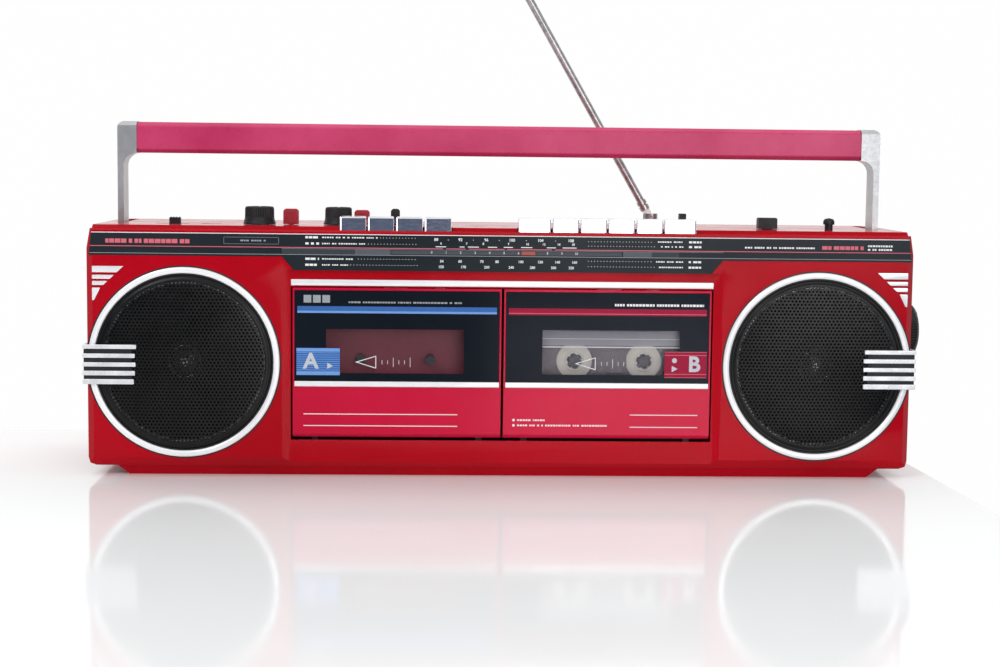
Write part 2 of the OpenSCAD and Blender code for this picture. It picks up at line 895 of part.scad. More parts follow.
// Right handle arm with its corner and pivot pin
module handle_arm() {
  lo = handle_top - grip_h;
  x1 = handle_x;
  x0 = handle_x - arm_t;
  y0 = pivot_y - grip_d / 2;
  y1 = pivot_y + grip_d / 2;
  top = handle_top + 0.4;
  f = corner_w - 0.1 - arm_t;
  union() {
    intersection() {
      along_y(y0, y1) {
        polygon([
          [x0, pivot_z - grip_d / 2], [x1, pivot_z - grip_d / 2], [x1, top - arm_round],
          [x1 - arm_round, top], [x0 - f, top], [x0 - f, lo], [x0, lo]
        ]);
        translate([x1 - arm_round, top - arm_round])
          circle(r = arm_round);
        difference() {
          translate([x0 - f, lo - f])
            square([f + 1, f]);
          translate([x0 - f, lo - f])
            circle(r = f);
        }
      }
      along_x(0, half_w) {
        translate([pivot_y, pivot_z])
          circle(r = grip_d / 2);
        polygon([
          [y0, pivot_z], [y1, pivot_z], [y1, top - 2.6], [y1 - 2.8, top],
          [y0 + 2.8, top], [y0, top - 2.6]
        ]);
      }
    }
    bar_x(pivot_r, pivot_y, pivot_z, x0, half_w - wall - 0.6);
  }
}

module handle_arms() {
  color("silver")
    both_ends()
      handle_arm();
}

// ---- antenna ----

// Places a rod drawn along +Z on the antenna hinge, leaning to the left
module leaned() {
  translate([antenna_x, antenna_y, antenna_z])
    rotate([0, -rod_lean, 0])
      children();
}

module antenna_swivel() {
  color("silver")
    difference() {
      union() {
        translate([antenna_x, antenna_y, deck_z - 11])
          cylinder(h = 12, r = 4);
        translate([antenna_x, antenna_y, deck_z - 0.7])
          cylinder(h = 1.8, r = 7.5);
        translate([antenna_x, antenna_y, deck_z + 1])
          cylinder(h = antenna_z - deck_z + 2.4, r = 5);
      }
      block([antenna_x - 12, antenna_y - 1.9, antenna_z - 3.9],
        [antenna_x + 12, antenna_y + 1.9, antenna_z + 12]);
      bar_y(1.2 + fit, antenna_x, antenna_z, antenna_y - 8, antenna_y + 8);
    }
}

module antenna_tube_1() {
  color("gainsboro")
    leaned()
      difference() {
        union() {
          block([-2.5, -1.6, -2.6], [2.5, 1.6, 9]);
          rotate([90, 0, 0])
            translate([0, 0, -5])
              cylinder(h = 10, r = 1.2);
          translate([0, 0, 7])
            cylinder(h = 3, r = collar_r);
          translate([0, 0, 9.4])
            cylinder(h = 2, r = rod_r);
          translate([0, 0, 11])
            cylinder(h = 2.6, r = collar_r);
          translate([0, 0, 13])
            cylinder(h = rod_l - 13, r = rod_r);
        }
        translate([0, 0, 20])
          cylinder(h = rod_l, r = 2.15);
      }
}

module antenna_tube_2() {
  color("gainsboro")
    leaned() {
      translate([0, 0, 24])
        cylinder(h = rod_l - 24 + 0.6, r = 2.1);
      translate([0, 0, rod_l + 0.5])
        cylinder(h = 5.5, r = 3);
    }
}

front_cabinet();
rear_cabinet();
battery_door();
mains_inlet();
cabinet_screws();
dial_panel();
dial_pointer();
tuning_knob();
speaker_rings();
speaker_grilles();
speaker_clips();
speaker_drivers();
speaker_cones();
corner_trims();
deck_trim_bar();
door_frame(-1);  // door_a_frame
door_window(-1);  // door_a_window
door_strip(-1);  // door_a_strip
cassette_holder(-1);  // cassette_holder_a
door_frame(1);  // door_b_frame
door_window(1);  // door_b_window
door_strip(1);  // door_b_strip
cassette_holder(1);  // cassette_holder_b
cassette_shell();
cassette_hub(-1);  // cassette_hub_left
cassette_hub(1);  // cassette_hub_right
mechanism_plate();
flywheel(-1);  // flywheel_a
flywheel(1);  // flywheel_b
spindle(-1, -1);  // spindle_a_left
spindle(-1, 1);  // spindle_a_right
spindle(1, -1);  // spindle_b_left
spindle(1, 1);  // spindle_b_right
tape_heads();
motor();
main_board();
piano_key(key_x_a[0], key_w_a[0]);  // key_a_1
piano_key(key_x_a[1], key_w_a[1]);  // key_a_2
piano_key(key_x_a[2], key_w_a[2]);  // key_a_3
piano_key(key_x_a[3], key_w_a[3]);  // key_a_4
piano_key(key_x_b[0], key_w_b[0]);  // key_b_1
piano_key(key_x_b[1], key_w_b[1]);  // key_b_2
piano_key(key_x_b[2], key_w_b[2]);  // key_b_3
piano_key(key_x_b[3], key_w_b[3]);  // key_b_4
piano_key(key_x_b[4], key_w_b[4]);  // key_b_5
piano_key(key_x_b[5], key_w_b[5]);  // key_b_6
round_knob(vol_x, knob_r);  // volume_knob
round_knob(tone_x, knob_r - 0.7);  // tone_knob
red_slider(tab_a_x, 9.8);  // red_slider_left
red_slider(tab_b_x, 9.4);  // red_slider_right
band_slider();
monitor_lever();
dubbing_slider();
reset_pin();
mode_switch();
handle_grip();
handle_arms();
antenna_swivel();
antenna_tube_1();
antenna_tube_2();
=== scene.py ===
import math
import random

import bmesh
import bpy
from mathutils import Matrix, Vector


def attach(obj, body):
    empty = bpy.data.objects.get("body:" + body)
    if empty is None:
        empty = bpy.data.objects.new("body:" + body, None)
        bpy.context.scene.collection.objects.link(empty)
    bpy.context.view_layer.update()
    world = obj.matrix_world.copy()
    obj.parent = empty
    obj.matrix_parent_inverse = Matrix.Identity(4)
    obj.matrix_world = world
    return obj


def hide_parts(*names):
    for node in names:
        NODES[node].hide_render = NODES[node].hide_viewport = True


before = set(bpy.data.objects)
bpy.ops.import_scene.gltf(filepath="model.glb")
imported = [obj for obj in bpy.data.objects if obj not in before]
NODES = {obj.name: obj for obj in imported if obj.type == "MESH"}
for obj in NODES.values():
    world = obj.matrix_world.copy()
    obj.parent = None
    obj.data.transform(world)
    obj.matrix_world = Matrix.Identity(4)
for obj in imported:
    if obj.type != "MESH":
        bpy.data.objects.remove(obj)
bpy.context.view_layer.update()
MM = 0.001
random.seed(7)

# Camera: where the photograph was taken from, in millimetres and degrees
CAMERA_AT = (-41.7, -1147.3, 193.7)
CAMERA_YAW = 2.12
CAMERA_PITCH = -5.56
CAMERA_ROLL = 0.66
CAMERA_LENS = 64.8

# Cabinet levels, in millimetres
FRONT_Y = -65.0
MID_Y = -63.0
DOOR_Y = -64.5
PANE_Y = -64.3
DECK_Z = 151.5
SPEAKER_X = 191.7
SPEAKER_Z = 69.4
GRILLE_R = 52.7
RING_OUTER = 57.4
RING_INNER = 53.6
REEL_Z = 70.9
REEL_GAP = 42.5
DECK_B_X = 65.5
TAPE_Y = -54.2
KNOB_Y = -30.0
SLOT_DEPTH = 5.8
PRINT_GAP = 0.03


# ---------------------------------------------------------------- materials

def shader(name):
    """New node material; returns it with its tree and its Principled shader."""
    mat = bpy.data.materials.new(name)
    mat.use_nodes = True
    return mat, mat.node_tree, mat.node_tree.nodes["Principled BSDF"]


def noise(tree, scale, detail=4.0, stretch=(1, 1, 1), roughness=0.55):
    """Noise in object space, scale in features per metre."""
    coord = tree.nodes.new("ShaderNodeTexCoord")
    mapping = tree.nodes.new("ShaderNodeMapping")
    mapping.inputs["Scale"].default_value = stretch
    tex = tree.nodes.new("ShaderNodeTexNoise")
    tex.inputs["Scale"].default_value = scale
    tex.inputs["Detail"].default_value = detail
    tex.inputs["Roughness"].default_value = roughness
    tree.links.new(coord.outputs["Object"], mapping.inputs["Vector"])
    tree.links.new(mapping.outputs["Vector"], tex.inputs["Vector"])
    return tex.outputs["Fac"]


def ramp(tree, source, stops):
    """Colour ramp over a value; stops are (position, colour)."""
    node = tree.nodes.new("ShaderNodeValToRGB")
    node.color_ramp.elements[0].position = stops[0][0]
    node.color_ramp.elements[0].color = (*stops[0][1], 1)
    node.color_ramp.elements[1].position = stops[1][0]
    node.color_ramp.elements[1].color = (*stops[1][1], 1)
    for position, colour in stops[2:]:
        element = node.color_ramp.elements.new(position)
        element.color = (*colour, 1)
    tree.links.new(source, node.inputs["Fac"])
    return node.outputs["Color"]


def remap(tree, source, low, high, start=0.3, end=0.7):
    """Maps a 0-1 value onto low..high."""
    node = tree.nodes.new("ShaderNodeMapRange")
    node.inputs["From Min"].default_value = start
    node.inputs["From Max"].default_value = end
    node.inputs["To Min"].default_value = low
    node.inputs["To Max"].default_value = high
    tree.links.new(source, node.inputs["Value"])
    return node.outputs["Result"]


def bump(tree, source, strength, distance, normal=None):
    """Bump node over a height value; distance in millimetres."""
    node = tree.nodes.new("ShaderNodeBump")
    node.inputs["Strength"].default_value = strength
    node.inputs["Distance"].default_value = distance * MM
    tree.links.new(source, node.inputs["Height"])
    if normal is not None:
        tree.links.new(normal, node.inputs["Normal"])
    return node.outputs["Normal"]


def plastic(name, dark, light, rough=(0.25, 0.35), grain=900, grain_mm=0.02, coat=0.0,
            blotch=18, wave=None, metallic=0.0, alpha=1.0, ior=1.5, shine=0.5):
    """Moulded surface: colour drift, uneven gloss, fine grain and, if asked, a slow waviness."""
    mat, tree, bsdf = shader(name)
    tone = noise(tree, blotch, 5.0)
    tree.links.new(ramp(tree, tone, [(0.35, dark), (0.68, light)]), bsdf.inputs["Base Color"])
    wear = noise(tree, blotch * 6, 6.0, roughness=0.7)
    tree.links.new(remap(tree, wear, rough[0], rough[1]), bsdf.inputs["Roughness"])
    normal = bump(tree, noise(tree, grain, 3.0), 0.6, grain_mm)
    if wave:
        normal = bump(tree, noise(tree, wave[0], 2.0), 0.5, wave[1], normal)
    tree.links.new(normal, bsdf.inputs["Normal"])
    bsdf.inputs["Metallic"].default_value = metallic
    bsdf.inputs["Coat Weight"].default_value = coat
    bsdf.inputs["Coat Roughness"].default_value = 0.04
    bsdf.inputs["IOR"].default_value = ior
    bsdf.inputs["Specular IOR Level"].default_value = shine
    if alpha < 1:
        bsdf.inputs["Alpha"].default_value = alpha
    return mat


def scratched_metal(name, dark, light, rough=(0.05, 0.16), direction=(1, 1, 1), scratch_mm=0.004):
    """Plated or plain metal with fine directional scratches and dulled patches."""
    mat, tree, bsdf = shader(name)
    patch = noise(tree, 60, 6.0, roughness=0.7)
    tree.links.new(ramp(tree, patch, [(0.3, dark), (0.65, light)]), bsdf.inputs["Base Color"])
    lines = noise(tree, 700, 4.0, stretch=direction)
    tree.links.new(remap(tree, lines, rough[0], rough[1]), bsdf.inputs["Roughness"])
    tree.links.new(bump(tree, lines, 0.5, scratch_mm), bsdf.inputs["Normal"])
    bsdf.inputs["Metallic"].default_value = 1.0
    return mat


def glossy_red(name, dark, light, shine=0.12):
    """Polished red cabinet plastic: hairline scratches, slight orange peel, dusty patches."""
    mat, tree, bsdf = shader(name)
    tone = noise(tree, 9, 5.0)
    base = ramp(tree, tone, [(0.3, dark), (0.7, light)])
    dust = noise(tree, 2600, 2.0, roughness=0.8)
    speck = ramp(tree, dust, [(0.75, (0, 0, 0)), (0.8, (0.5, 0.5, 0.5))])
    mix = tree.nodes.new("ShaderNodeMix")
    mix.data_type = "RGBA"
    colours = [socket for socket in mix.inputs if socket.type == "RGBA"]
    colours[1].default_value = (0.62, 0.12, 0.16, 1)
    tree.links.new(speck, mix.inputs[0])
    tree.links.new(base, colours[0])
    result = [socket for socket in mix.outputs if socket.type == "RGBA"][0]
    tree.links.new(result, bsdf.inputs["Base Color"])
    haze = noise(tree, 35, 8.0, roughness=0.75)
    tree.links.new(remap(tree, haze, 0.10, 0.24), bsdf.inputs["Roughness"])
    scratch = noise(tree, 260, 3.0, stretch=(0.12, 1, 6.0))
    normal = bump(tree, scratch, 0.35, 0.003)
    normal = bump(tree, noise(tree, 300, 2.0), 0.25, 0.008, normal)
    tree.links.new(normal, bsdf.inputs["Normal"])
    bsdf.inputs["Specular IOR Level"].default_value = shine
    return mat


def ink(name, colour, rough=0.35):
    """Screen-printed ink with slightly uneven cover."""
    mat, tree, bsdf = shader(name)
    lighter = tuple(min(1.0, c * 1.12 + 0.01) for c in colour)
    cover = noise(tree, 1500, 3.0)
    tree.links.new(ramp(tree, cover, [(0.3, colour), (0.7, lighter)]), bsdf.inputs["Base Color"])
    tree.links.new(remap(tree, noise(tree, 300, 4.0), rough - 0.08, rough + 0.08),
                   bsdf.inputs["Roughness"])
    tree.links.new(bump(tree, cover, 0.3, 0.004), bsdf.inputs["Normal"])
    bsdf.inputs["Specular IOR Level"].default_value = 0.12
    return mat


def make_materials():
    """All finishes by short name."""
    return {
        "red": glossy_red("cabinet_red", (0.37, 0.0, 0.006), (0.46, 0.0005, 0.010)),
        "door_red": glossy_red("door_red", (0.50, 0.001, 0.028), (0.61, 0.003, 0.045), 0.22),
        "bay_red": plastic("bay_red", (0.22, 0.03, 0.05), (0.28, 0.045, 0.07), (0.4, 0.5)),
        "grip": plastic("grip_red", (0.50, 0.030, 0.11), (0.62, 0.065, 0.17), (0.22, 0.36),
                        grain=1400, grain_mm=0.012, blotch=14, shine=0.2),
        "tab": plastic("tab_red", (0.30, 0.002, 0.012), (0.40, 0.006, 0.022), (0.3, 0.45)),
        "black": plastic("black_matt", (0.006, 0.006, 0.007), (0.016, 0.016, 0.017),
                         (0.38, 0.6), grain=1800, grain_mm=0.02, blotch=40, shine=0.35),
        "dial": plastic("dial_black", (0.015, 0.020, 0.024), (0.022, 0.028, 0.033),
                        (0.12, 0.2), grain=500, grain_mm=0.001, blotch=8, shine=0.1),
        "mask": plastic("pane_mask", (0.003, 0.006, 0.011), (0.006, 0.010, 0.017),
                        (0.08, 0.14), grain=500, grain_mm=0.0005, blotch=8, shine=0.1),
        "pointer": plastic("pointer_red", (0.34, 0.05, 0.035), (0.44, 0.08, 0.055), (0.3, 0.4)),
        "chrome": scratched_metal("chrome_bright", (0.74, 0.75, 0.80), (0.90, 0.91, 0.94),
                                  (0.03, 0.10), direction=(0.3, 1, 1), scratch_mm=0.0015),
        "clip": plastic("clip_chrome", (0.74, 0.74, 0.76), (0.95, 0.95, 0.97), (0.24, 0.4),
                        grain=420, grain_mm=0.006, metallic=0.35, blotch=120),
        "rod": plastic("rod_chrome", (0.30, 0.29, 0.29), (0.50, 0.49, 0.49), (0.22, 0.38),
                       grain=700, grain_mm=0.004, metallic=0.65, blotch=260, shine=0.6),
        "silver": plastic("silver_satin", (0.36, 0.365, 0.37), (0.46, 0.465, 0.47), (0.28, 0.4),
                          grain=1600, grain_mm=0.004, metallic=0.6, blotch=70),
        "ring": plastic("ring_silver", (0.90, 0.90, 0.90), (0.97, 0.97, 0.97), (0.14, 0.24),
                        grain=900, grain_mm=0.003, metallic=0.1, coat=0.6),
        # Strip finish: light silver with a near-white base and low metallic. Its white is partly
        # painted reflection of the bright window rather than a mirrored one.
        "strip": plastic("strip_silver_painted_reflection", (0.88, 0.88, 0.89), (0.95, 0.95, 0.95), (0.10, 0.2),
                         grain=700, grain_mm=0.003, metallic=0.2, coat=0.5, blotch=60),
        "grille": plastic("grille_black", (0.003, 0.003, 0.003), (0.008, 0.008, 0.008),
                          (0.25, 0.42), grain=1600, grain_mm=0.01, blotch=50, shine=0.22),
        "cone": plastic("cone_paper", (0.004, 0.004, 0.004), (0.012, 0.012, 0.012),
                        (0.45, 0.7), grain=1100, grain_mm=0.06, blotch=60, shine=0.2),
        "cap": plastic("dust_cap", (0.05, 0.05, 0.055), (0.09, 0.09, 0.10), (0.12, 0.2)),
        # Near-white coated disc finish for the dust cap centre: a painted glint, seen through the
        # grille holes as bright dots.
        "painted_glint": plastic("dust_cap_painted_glint", (0.85, 0.85, 0.87), (0.97, 0.97, 0.98), (0.08, 0.15),
                        grain=700, grain_mm=0.004, metallic=0.3, coat=0.8),
        "steel": scratched_metal("steel_plain", (0.30, 0.30, 0.31), (0.5, 0.5, 0.51),
                                 (0.25, 0.45), direction=(0.1, 1, 1), scratch_mm=0.004),
        "shade": plastic("holder_grey", (0.018, 0.018, 0.021), (0.034, 0.034, 0.04), (0.4, 0.6)),
        "pane": plastic("pane_smoke", (0.012, 0.015, 0.022), (0.018, 0.022, 0.030),
                        (0.015, 0.03), grain=200, grain_mm=0.0003, coat=0.0, alpha=0.09,
                        shine=0.35),
        "shell": plastic("tape_shell", (0.40, 0.36, 0.43), (0.50, 0.46, 0.53), (0.12, 0.2),
                         grain=600, grain_mm=0.001, coat=0.3, alpha=0.22),
        "label": plastic("tape_label", (0.50, 0.48, 0.55), (0.62, 0.60, 0.66), (0.3, 0.5),
                         grain=600, grain_mm=0.004, alpha=0.6),
        "hub": plastic("hub_cream", (0.80, 0.77, 0.66), (0.90, 0.87, 0.77), (0.3, 0.42),
                       grain=1500, grain_mm=0.02, blotch=90),
        "spindle": plastic("spindle_grey", (0.012, 0.014, 0.02), (0.03, 0.032, 0.042),
                           (0.3, 0.42), grain=1500, grain_mm=0.02, blotch=90),
        "tape": plastic("tape_brown", (0.10, 0.075, 0.085), (0.14, 0.105, 0.12), (0.18, 0.3),
                        grain=2500, grain_mm=0.005),
        "board": plastic("board_green", (0.02, 0.08, 0.03), (0.04, 0.12, 0.05), (0.3, 0.5)),
        "white": ink("ink_white", (0.78, 0.78, 0.78)),
        "letter": ink("ink_letter", (0.50, 0.52, 0.56)),
        "grey": ink("ink_grey", (0.085, 0.095, 0.11)),
        "mid_grey": ink("ink_mid_grey", (0.034, 0.042, 0.05)),
        "soft_grey": ink("ink_soft_grey", (0.30, 0.32, 0.34)),
        "pink": ink("ink_pink", (0.62, 0.13, 0.17)),
        "crimson": ink("ink_crimson", (0.30, 0.003, 0.035)),
        "blue": ink("ink_blue", (0.035, 0.12, 0.36)),
        "pale_blue": ink("ink_pale_blue", (0.15, 0.31, 0.64)),
        "table": plastic("table_white", (0.88, 0.895, 0.89), (0.92, 0.93, 0.925), (0.06, 0.12),
                         grain=120, grain_mm=0.004, blotch=3, ior=1.33),
    }


# ---------------------------------------------------------------- mesh tools

def finish_piece(obj, material, body, bevel=0.0, segments=2, angle=35):
    """Gives a new piece its material, rounded edges, shading and the body it rides on."""
    obj.data.materials.append(material)
    obj.data.set_sharp_from_angle(angle=math.radians(angle))
    for polygon in obj.data.polygons:
        polygon.use_smooth = True
    if bevel:
        modifier = obj.modifiers.new("round", "BEVEL")
        modifier.width = bevel * MM
        modifier.segments = segments
        modifier.limit_method = "ANGLE"
        modifier.angle_limit = math.radians(angle)
        modifier.harden_normals = True
    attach(obj, body)
    return obj


def mesh_object(name, verts, faces):
    """New mesh object from millimetre points."""
    mesh = bpy.data.meshes.new(name)
    mesh.from_pydata([Vector(v) * MM for v in verts], [], faces)
    mesh.update()
    obj = bpy.data.objects.new(name, mesh)
    bpy.context.scene.collection.objects.link(obj)
    return obj


def tidy_normals(obj):
    """Points every face outward."""
    bm = bmesh.new()
    bm.from_mesh(obj.data)
    bmesh.ops.recalc_face_normals(bm, faces=bm.faces)
    bm.to_mesh(obj.data)
    bm.free()


def add_block(verts, faces, low, high):
    """Adds a box to a point and face list."""
    n = len(verts)
    (x0, y0, z0), (x1, y1, z1) = low, high
    verts += [(x0, y0, z0), (x1, y0, z0), (x1, y1, z0), (x0, y1, z0),
              (x0, y0, z1), (x1, y0, z1), (x1, y1, z1), (x0, y1, z1)]
    faces += [(n, n + 3, n + 2, n + 1), (n + 4, n + 5, n + 6, n + 7), (n, n + 1, n + 5, n + 4),
              (n + 1, n + 2, n + 6, n + 5), (n + 2, n + 3, n + 7, n + 6), (n + 3, n, n + 4, n + 7)]


def blocks(name, boxes, material, body, bevel=0.3, segments=3):
    """Rounded boxes in one piece."""
    verts, faces = [], []
    for low, high in boxes:
        add_block(verts, faces, low, high)
    return finish_piece(mesh_object(name, verts, faces), material, body, bevel, segments)


def prism(name, outline, y0, y1, material, body, bevel=0.0, segments=2):
    """Outline in X and Z, extruded from y0 to y1."""
    n = len(outline)
    verts = [(x, y0, z) for x, z in outline] + [(x, y1, z) for x, z in outline]
    faces = [tuple(range(n)), tuple(range(2 * n - 1, n - 1, -1))]
    faces += [(i, i + n, (i + 1) % n + n, (i + 1) % n) for i in range(n)]
    obj = mesh_object(name, verts, faces)
    tidy_normals(obj)
    return finish_piece(obj, material, body, bevel, segments)


def lathe(name, profile, place, material, body, axis="Y", steps=128, flute=None,
          angle=30):
    """Turned piece. profile holds (radius, depth along the axis, fluted yes or no)."""
    verts, faces = [], []
    rows = len(profile)
    for i in range(steps):
        turn = 2 * math.pi * i / steps
        for radius, depth, *ribbed in profile:
            r = radius
            if flute and ribbed and ribbed[0]:
                r = radius - flute[1] * (0.5 + 0.5 * math.cos(flute[0] * turn)) ** 2
            a, b = r * math.cos(turn), r * math.sin(turn)
            point = {"Y": (a, depth, b), "Z": (a, b, depth), "X": (depth, a, b)}[axis]
            verts.append(tuple(p + q for p, q in zip(place, point)))
    for i in range(steps):
        j = (i + 1) % steps
        for k in range(rows - 1):
            faces.append((i * rows + k, j * rows + k, j * rows + k + 1, i * rows + k + 1))
    obj = mesh_object(name, verts, faces)
    bm = bmesh.new()
    bm.from_mesh(obj.data)
    bmesh.ops.remove_doubles(bm, verts=bm.verts, dist=1e-7)
    bmesh.ops.dissolve_degenerate(bm, edges=bm.edges, dist=1e-8)
    bmesh.ops.recalc_face_normals(bm, faces=bm.faces)
    bm.to_mesh(obj.data)
    bm.free()
    return finish_piece(obj, material, body, angle=angle)


def prints(name, rects, y, material, body):
    """Flat printed bars facing the front: each is (x0, z0, x1, z1)."""
    verts, faces = [], []
    for x0, z0, x1, z1 in rects:
        n = len(verts)
        verts += [(x0, y, z0), (x1, y, z0), (x1, y, z1), (x0, y, z1)]
        faces.append((n, n + 1, n + 2, n + 3))
    return finish_piece(mesh_object(name, verts, faces), material, body)


def printed_shapes(name, outlines, y, material, body):
    """Flat printed polygons facing the front."""
    verts, faces = [], []
    for outline in outlines:
        n = len(verts)
        verts += [(x, y, z) for x, z in outline]
        faces.append(tuple(range(n, n + len(outline))))
    return finish_piece(mesh_object(name, verts, faces), material, body)


def numerals(name, items, y, material, body, bold=0.0):
    """Plain numbers or single letters; items are (text, x centre, z centre, height)."""
    verts, faces = [], []
    for text, x, z, height in items:
        curve = bpy.data.curves.new("glyph", "FONT")
        curve.body = text
        curve.align_x = "CENTER"
        curve.align_y = "CENTER"
        curve.size = height * 1.35
        curve.resolution_u = 3
        curve.offset = bold
        holder = bpy.data.objects.new("glyph", curve)
        bpy.context.scene.collection.objects.link(holder)
        bpy.context.view_layer.update()
        mesh = holder.to_mesh()
        n = len(verts)
        verts += [(x + v.co.x, y, z + v.co.y) for v in mesh.vertices]
        faces += [tuple(n + i for i in p.vertices) for p in mesh.polygons]
        holder.to_mesh_clear()
        bpy.data.objects.remove(holder)
        bpy.data.curves.remove(curve)
    return finish_piece(mesh_object(name, verts, faces), material, body)


def dress(node, material, bevel=0.0, segments=2, angle=38):
    """Finish for a CAD node that stays: its material, and edges rounded by modifiers."""
    obj = NODES[node]
    for i in range(len(obj.material_slots)):
        obj.material_slots[i].material = material
    if bevel:
        weld = obj.modifiers.new("weld", "WELD")
        weld.merge_threshold = 0.00001
        rounding = obj.modifiers.new("round", "BEVEL")
        rounding.width = bevel * MM
        rounding.segments = segments
        rounding.limit_method = "ANGLE"
        rounding.angle_limit = math.radians(angle)
        rounding.use_clamp_overlap = True
        rounding.harden_normals = False
        shading = obj.modifiers.new("shade", "WEIGHTED_NORMAL")
        shading.keep_sharp = False
        shading.weight = 60


# ---------------------------------------------------------------- speakers

def grille(side, mats):
    """Domed perforated sheet with staggered holes inside a plain rim."""
    pitch = 2.3
    hole = 0.74
    sheet = 0.7
    field = 49.2
    row_step = pitch * math.sqrt(3) / 2
    cx = side * SPEAKER_X

    def depth(r):
        return -2.3 * max(0.0, 1 - (r / 50.0) ** 2) ** 0.8

    verts, faces, corners = [], [], {}

    def corner(x, z):
        key = (round(x, 3), round(z, 3))
        if key not in corners:
            corners[key] = len(verts)
            verts.append((cx + x, FRONT_Y + depth(math.hypot(x, z)), SPEAKER_Z + z))
        return corners[key]

    rows = int(field / row_step) + 1
    hex_r = pitch / math.sqrt(3)
    for row in range(-rows, rows + 1):
        z = row * row_step
        for col in range(-25, 26):
            x = (col + 0.5 * (row % 2)) * pitch
            if math.hypot(x, z) > field:
                continue
            rim = [corner(x + hex_r * math.sin(math.radians(60 * k)),
                          z + hex_r * math.cos(math.radians(60 * k))) for k in range(6)]
            y = FRONT_Y + depth(math.hypot(x, z))
            top, low = [], []
            for k in range(6):
                a = math.radians(60 * k)
                px, pz = cx + x + hole * math.sin(a), SPEAKER_Z + z + hole * math.cos(a)
                top.append(len(verts))
                verts.append((px, y + 0.04, pz))
                low.append(len(verts))
                verts.append((px, y + sheet, pz))
            for k in range(6):
                m = (k + 1) % 6
                faces.append((rim[k], top[k], top[m], rim[m]))
                faces.append((top[k], low[k], low[m], top[m]))
    name = "grille_sheet_left" if side < 0 else "grille_sheet_right"
    obj = mesh_object(name, verts, faces)
    tidy_normals(obj)
    finish_piece(obj, mats["grille"], "cabinet", angle=50)

    rim_name = "grille_rim_left" if side < 0 else "grille_rim_right"
    profile = [(48.6, -0.34), (49.6, -0.38), (50.6, -0.15), (51.1, 0.25), (51.7, 0.4),
               (52.2, 0.3), (GRILLE_R, 0.8), (GRILLE_R, 2.3), (51.6, 2.3), (51.4, 1.3),
               (48.6, 0.6)]
    lathe(rim_name, profile + [profile[0]], (cx, FRONT_Y, SPEAKER_Z), mats["grille"],
          "cabinet")
    return obj


def speaker(side, mats):
    """Ring and what shows behind the grille."""
    cx = side * SPEAKER_X
    tag = "left" if side < 0 else "right"
    ring_profile = [(RING_OUTER, 1.2), (RING_OUTER, -0.5), (RING_OUTER - 0.25, -1.0),
                    (RING_OUTER - 0.8, -1.35), (RING_OUTER - 1.6, -1.5),
                    (RING_INNER + 1.3, -1.5), (RING_INNER + 0.7, -1.3),
                    (RING_INNER + 0.2, -0.8), (RING_INNER, 0.0), (RING_INNER, 1.2)]
    lathe("ring_" + tag, ring_profile + [ring_profile[0]], (cx, FRONT_Y, SPEAKER_Z),
          mats["ring"], "cabinet", steps=180)
    # Black annulus in the gap round the ring's outer edge, reaching onto the cabinet face: painted
    # shadow of the gap between ring and cabinet.
    gap_shadow_profile = [(RING_OUTER + 0.1, 1.15), (RING_OUTER + 0.1, -0.08),
                      (RING_OUTER + 0.85, -0.05), (RING_OUTER + 0.85, 1.15)]
    lathe("ring_gap_shadow_" + tag, gap_shadow_profile + [gap_shadow_profile[0]],
          (cx, FRONT_Y, SPEAKER_Z), mats["black"], "cabinet", steps=180)
    seat_profile = [(52.75, 1.0), (52.75, -0.12), (53.7, -0.12), (53.7, 1.0)]
    lathe("ring_seat_" + tag, seat_profile + [seat_profile[0]], (cx, FRONT_Y, SPEAKER_Z),
          mats["black"], "cabinet", steps=180)
    cap_profile = [(0.0, 4.6), (4, 4.9), (8, 6.2), (11, 8.6), (13, 10.9), (13.4, 11.6)]
    lathe("dust_cap_" + tag, cap_profile, (cx, FRONT_Y, SPEAKER_Z), mats["cap"],
          "cabinet", steps=72)
    # Small near-white disc at the cap centre: painted glint of the dust cap behind the grille.
    glint_profile = [(0.0, 1.2), (1.6, 1.5), (2.6, 2.4), (2.8, 4.7)]
    lathe("dust_cap_painted_glint_" + tag, glint_profile, (cx, FRONT_Y, SPEAKER_Z), mats["painted_glint"],
          "cabinet", steps=48)
    rib_profile = [(8.9, 7.0), (9.0, 2.6), (9.5, 2.3), (10.0, 2.6), (10.1, 7.4)]
    lathe("dust_cap_rib_" + tag, rib_profile, (cx, FRONT_Y, SPEAKER_Z), mats["steel"],
          "cabinet", steps=72)


def clips(side, mats):
    """Five chrome bars on a black backing, wrapped round the end of the cabinet."""
    tag = "left" if side < 0 else "right"
    levels = [(56.1, 59.2), (61.4, 64.2), (66.7, 69.3), (72.0, 74.6), (77.4, 80.0)]
    reach = [(221.3, 219.8), (220.6, 219.4), (220.2, 218.9), (220.6, 219.6), (219.6, 220.4)]
    bars = []
    for (z0, z1), ends in zip(levels, reach):
        x0 = ends[0] if side < 0 else ends[1]
        bars.append((max(219.8, x0), z0, z1))
    verts, faces = [], []
    for x0, z0, z1 in bars:
        add_block(verts, faces, (x0, -68.3, z0), (251.9, -66.9, z1))
        add_block(verts, faces, (250.1, -66.9, z0), (251.9, -49.2, z1))
    verts = [(side * x, y, z) for x, y, z in verts]
    obj = mesh_object("clip_bars_" + tag, verts, faces)
    tidy_normals(obj)
    finish_piece(obj, mats["clip"], "cabinet", bevel=0.45, segments=4)
    verts, faces = [], []
    add_block(verts, faces, (222.4, -67.5, 56.6), (251.2, -66.9, 79.6))
    add_block(verts, faces, (250.1, -66.9, 56.6), (251.1, -50.0, 79.6))
    verts = [(side * x, y, z) for x, y, z in verts]
    back = mesh_object("clip_backing_" + tag, verts, faces)
    tidy_normals(back)
    finish_piece(back, mats["black"], "cabinet", bevel=0.2, segments=2)


# ---------------------------------------------------------------- controls

